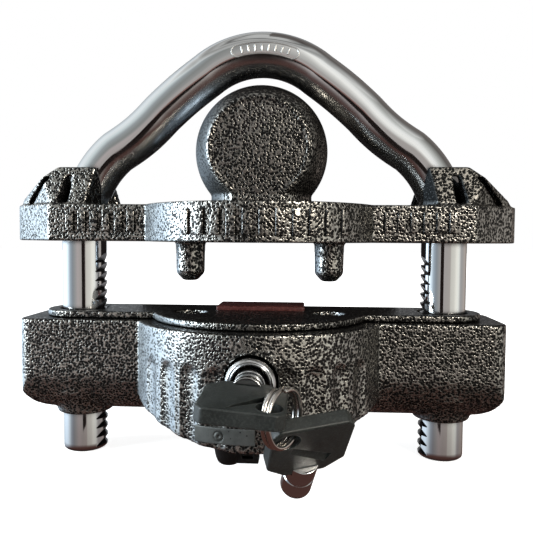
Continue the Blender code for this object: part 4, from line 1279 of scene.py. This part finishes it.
def floor_material():
    """Pale and matt, with a glow only the camera sees that grows away from the lock."""
    pale = Material("floor_pale")
    pale.set(Base_Color=(0.93, 0.93, 0.93), Roughness=0.9, Specular_IOR_Level=0.1)
    glow = pale.node("ShaderNodeEmission")
    glow.inputs["Color"].default_value = (1, 1, 1, 1)
    seen = pale.node("ShaderNodeLightPath").outputs["Is Camera Ray"]
    away = pale.vec("LENGTH", pale.stretch(1.0, 1.0, 0.0))
    strength = pale.map(away, span=(0.08, 0.22), to=(0.86, 1.4), smooth=True)
    pale.feed(glow.inputs["Strength"], pale.times(seen, strength))
    both = pale.node("ShaderNodeAddShader")
    pale.feed(both.inputs[0], pale.shader.outputs[0])
    pale.feed(both.inputs[1], glow.outputs[0])
    pale.feed(pale.surface, both.outputs[0])
    return pale.mat


def build_floor():
    shape = bmesh.new()
    bmesh.ops.create_grid(shape, x_segments=8, y_segments=8, size=3.0)
    mesh = bpy.data.meshes.new("floor")
    shape.to_mesh(mesh)
    shape.free()
    floor = bpy.data.objects.new("floor", mesh)
    floor.location = (0, 0, (LEG_BOTTOM - 0.15) * MM)
    scene.collection.objects.link(floor)
    dress(floor, floor_material())
    floor.visible_glossy = False


def board(name, corners, colour):
    """A flat board seen only in reflections; it throws no shadow."""
    mesh = bpy.data.meshes.new(name)
    mesh.from_pydata([Vector(corner) * MM for corner in corners], [], [(0, 1, 2, 3)])
    obj = bpy.data.objects.new(name, mesh)
    scene.collection.objects.link(obj)
    material = bpy.data.materials.new(name)
    material.use_nodes = True
    tree = material.node_tree
    tree.nodes.clear()
    surface = tree.nodes.new("ShaderNodeOutputMaterial").inputs["Surface"]
    emission = tree.nodes.new("ShaderNodeEmission")
    emission.inputs["Color"].default_value = (*colour, 1.0)
    emission.inputs["Strength"].default_value = 1.0
    tree.links.new(emission.outputs[0], surface)
    mesh.materials.append(material)
    obj.visible_camera = False
    obj.visible_shadow = False
    obj.visible_diffuse = False
    obj.visible_transmission = False
    obj.visible_volume_scatter = False


build_floor()
for name, corners, colour in BOARDS:
    board(name, corners, colour)

# ================================================================================================
# World: the room that the metal reflects
# ================================================================================================
# (azimuth in degrees, colour); 0 is the front, +90 is +X
HORIZON = [
    (-180, (0.50, 0.52, 0.54)), (-156, (0.46, 0.50, 0.54)), (-142, (0.62, 0.72, 0.80)),
    (-130, (1.20, 1.45, 1.68)), (-112, (1.35, 1.62, 1.86)), (-92, (1.32, 1.58, 1.82)),
    (-78, (1.00, 1.16, 1.28)), (-62, (0.40, 0.48, 0.55)), (-48, (0.28, 0.31, 0.34)),
    (-36, (0.34, 0.35, 0.35)), (-18, (0.48, 0.43, 0.42)), (0, (0.42, 0.39, 0.37)),
    (22, (0.46, 0.42, 0.39)), (26, (0.66, 0.64, 0.58)), (45, (0.76, 0.74, 0.67)),
    (56, (0.96, 0.94, 0.85)), (70, (0.94, 0.95, 0.88)), (84, (0.42, 0.41, 0.41)),
    (92, (0.40, 0.39, 0.38)), (121, (0.48, 0.42, 0.38)), (150, (0.10, 0.08, 0.07)),
    (180, (0.50, 0.52, 0.54))]
# higher: the window on the left, dim walls, a bright opening to the front right
MIDDLE = [
    (-180, (0.30, 0.31, 0.32)), (-150, (0.50, 0.54, 0.57)), (-110, (0.88, 0.95, 0.98)),
    (-88, (0.90, 0.95, 0.96)), (-64, (0.68, 0.76, 0.77)), (-44, (0.36, 0.39, 0.40)),
    (-25, (0.27, 0.28, 0.27)), (-11, (0.34, 0.34, 0.33)), (6, (0.60, 0.59, 0.56)),
    (22, (1.02, 1.01, 0.96)), (36, (0.96, 0.96, 0.93)), (52, (0.64, 0.65, 0.62)),
    (77, (0.34, 0.34, 0.32)), (104, (0.13, 0.12, 0.11)), (150, (0.18, 0.16, 0.15)),
    (180, (0.30, 0.31, 0.32))]
# (upward part of the direction, grey)
CEILING = [
    (0.38, 0.46), (0.52, 0.58), (0.60, 0.44), (0.70, 0.52), (0.76, 0.95), (0.79, 0.60),
    (0.86, 0.34), (0.92, 0.50), (0.955, 0.16), (0.985, 0.55)]
DARK_CORNER = (0.070, 0.055, 0.048)     # ceiling behind the lock on the right
TABLE = (0.075, 0.036, 0.030)           # below the horizon


def room_colour(sky):
    x, y, height = sky.parts(sky.coord)
    azimuth = sky.math("ARCTAN2", x, sky.times(y, -1.0))
    turn = sky.plus(sky.math("DIVIDE", azimuth, 2 * math.pi), 0.5)
    horizon, middle = [
        sky.ramp(turn, [((degrees + 180.0) / 360.0, tone) for degrees, tone in stops])
        for stops in (HORIZON, MIDDLE)]
    walls = sky.mix(sky.map(height, span=(0.08, 0.30), smooth=True), horizon, middle)
    blur = sky.centred(sky.noise(scale=3.5), 0.12)
    ceiling = sky.ramp(sky.plus(height, blur), [(z, (v, v, v * 0.97)) for z, v in CEILING])
    behind = sky.map(azimuth, span=(math.radians(72), math.radians(118)), to=(0.0, 0.82),
                     smooth=True)
    ceiling = sky.mix(behind, ceiling, DARK_CORNER)
    room = sky.mix(sky.map(height, span=(0.70, 0.84), smooth=True), walls, ceiling)
    return sky.mix(sky.map(height, span=(-0.50, -0.13), smooth=True), TABLE, room)


def build_world():
    """White to the camera; to everything else the room, dimmer for matt surfaces."""
    world = bpy.data.worlds.new("studio")
    scene.world = world
    world.use_nodes = True
    sky = Graph(world.node_tree, coordinates="Generated", third=None)
    rays = sky.node("ShaderNodeLightPath").outputs
    room = sky.node("ShaderNodeBackground")
    sky.feed(room.inputs["Color"], room_colour(sky))
    sky.feed(room.inputs["Strength"], sky.map(rays["Is Diffuse Ray"], to=(1.0, 0.40)))
    white = sky.node("ShaderNodeBackground")
    white.inputs["Color"].default_value = (1.0, 1.0, 1.0, 1.0)
    white.inputs["Strength"].default_value = 1.0
    choice = sky.node("ShaderNodeMixShader")
    sky.feed(choice.inputs[0], rays["Is Camera Ray"])
    sky.feed(choice.inputs[1], room.outputs[0])
    sky.feed(choice.inputs[2], white.outputs[0])
    sky.feed(sky.node("ShaderNodeOutputWorld").inputs["Surface"], choice.outputs[0])


build_world()


# ================================================================================================
# Lights and camera, places in millimetres
# ================================================================================================
def area(name, location, target, size, power, colour=(1, 1, 1), glossy=True):
    light = bpy.data.lights.new(name, "AREA")
    light.shape = "RECTANGLE"
    light.size = size[0] * MM
    light.size_y = size[1] * MM
    light.energy = power
    light.color = colour
    obj = bpy.data.objects.new(name, light)
    scene.collection.objects.link(obj)
    obj.location = Vector(location) * MM
    aim = Vector(target) * MM - obj.location
    obj.rotation_euler = aim.to_track_quat("-Z", "Y").to_euler()
    obj.visible_camera = False
    obj.visible_glossy = glossy
    return obj


window = area("window_left", location=(-420, -170, 120), target=(0, 0, 10), size=(170, 300),
              power=2.9, colour=(0.84, 0.94, 1.0))
lamp = area("lamp_right", location=(300, -380, 240), target=(0, 0, 10), size=(120, 160),
            power=1.45, colour=(1.0, 0.92, 0.80))
# the shackle mirrors the room, not these two lamps
mirror = bpy.data.collections.new("mirror_finish")
mirror.objects.link(shackle)
for item in mirror.collection_objects:
    item.light_linking.link_state = "EXCLUDE"
for obj in (window, lamp):
    obj.light_linking.receiver_collection = mirror
area("top_soft", location=(0, -80, 620), target=(0, 0, 0), size=(420, 420), power=1.0,
     glossy=False)

CAMERA_PLACE = (15.02, -222.53, 25.16)
CAMERA_YAW = math.radians(3.35)       # to the left
CAMERA_PITCH = math.radians(2.8)      # downwards
CAMERA_ROLL = math.radians(0.38)


def build_camera():
    data = bpy.data.cameras.new("camera")
    camera = bpy.data.objects.new("camera", data)
    scene.collection.objects.link(camera)
    forward = Vector((-math.sin(CAMERA_YAW) * math.cos(CAMERA_PITCH),
                      math.cos(CAMERA_YAW) * math.cos(CAMERA_PITCH), -math.sin(CAMERA_PITCH)))
    level = Vector((math.cos(CAMERA_YAW), math.sin(CAMERA_YAW), 0))
    upright = level.cross(forward)
    right = math.cos(CAMERA_ROLL) * level + math.sin(CAMERA_ROLL) * upright
    up = -math.sin(CAMERA_ROLL) * level + math.cos(CAMERA_ROLL) * upright
    turn = Matrix((right, up, -forward)).transposed().to_4x4()
    camera.matrix_world = Matrix.Translation(Vector(CAMERA_PLACE) * MM) @ turn
    data.sensor_width = 36.0
    data.lens = 41.139962
    data.clip_start = 0.005
    data.clip_end = 20.0
    scene.camera = camera


build_camera()
scene.view_settings.view_transform = "Standard"
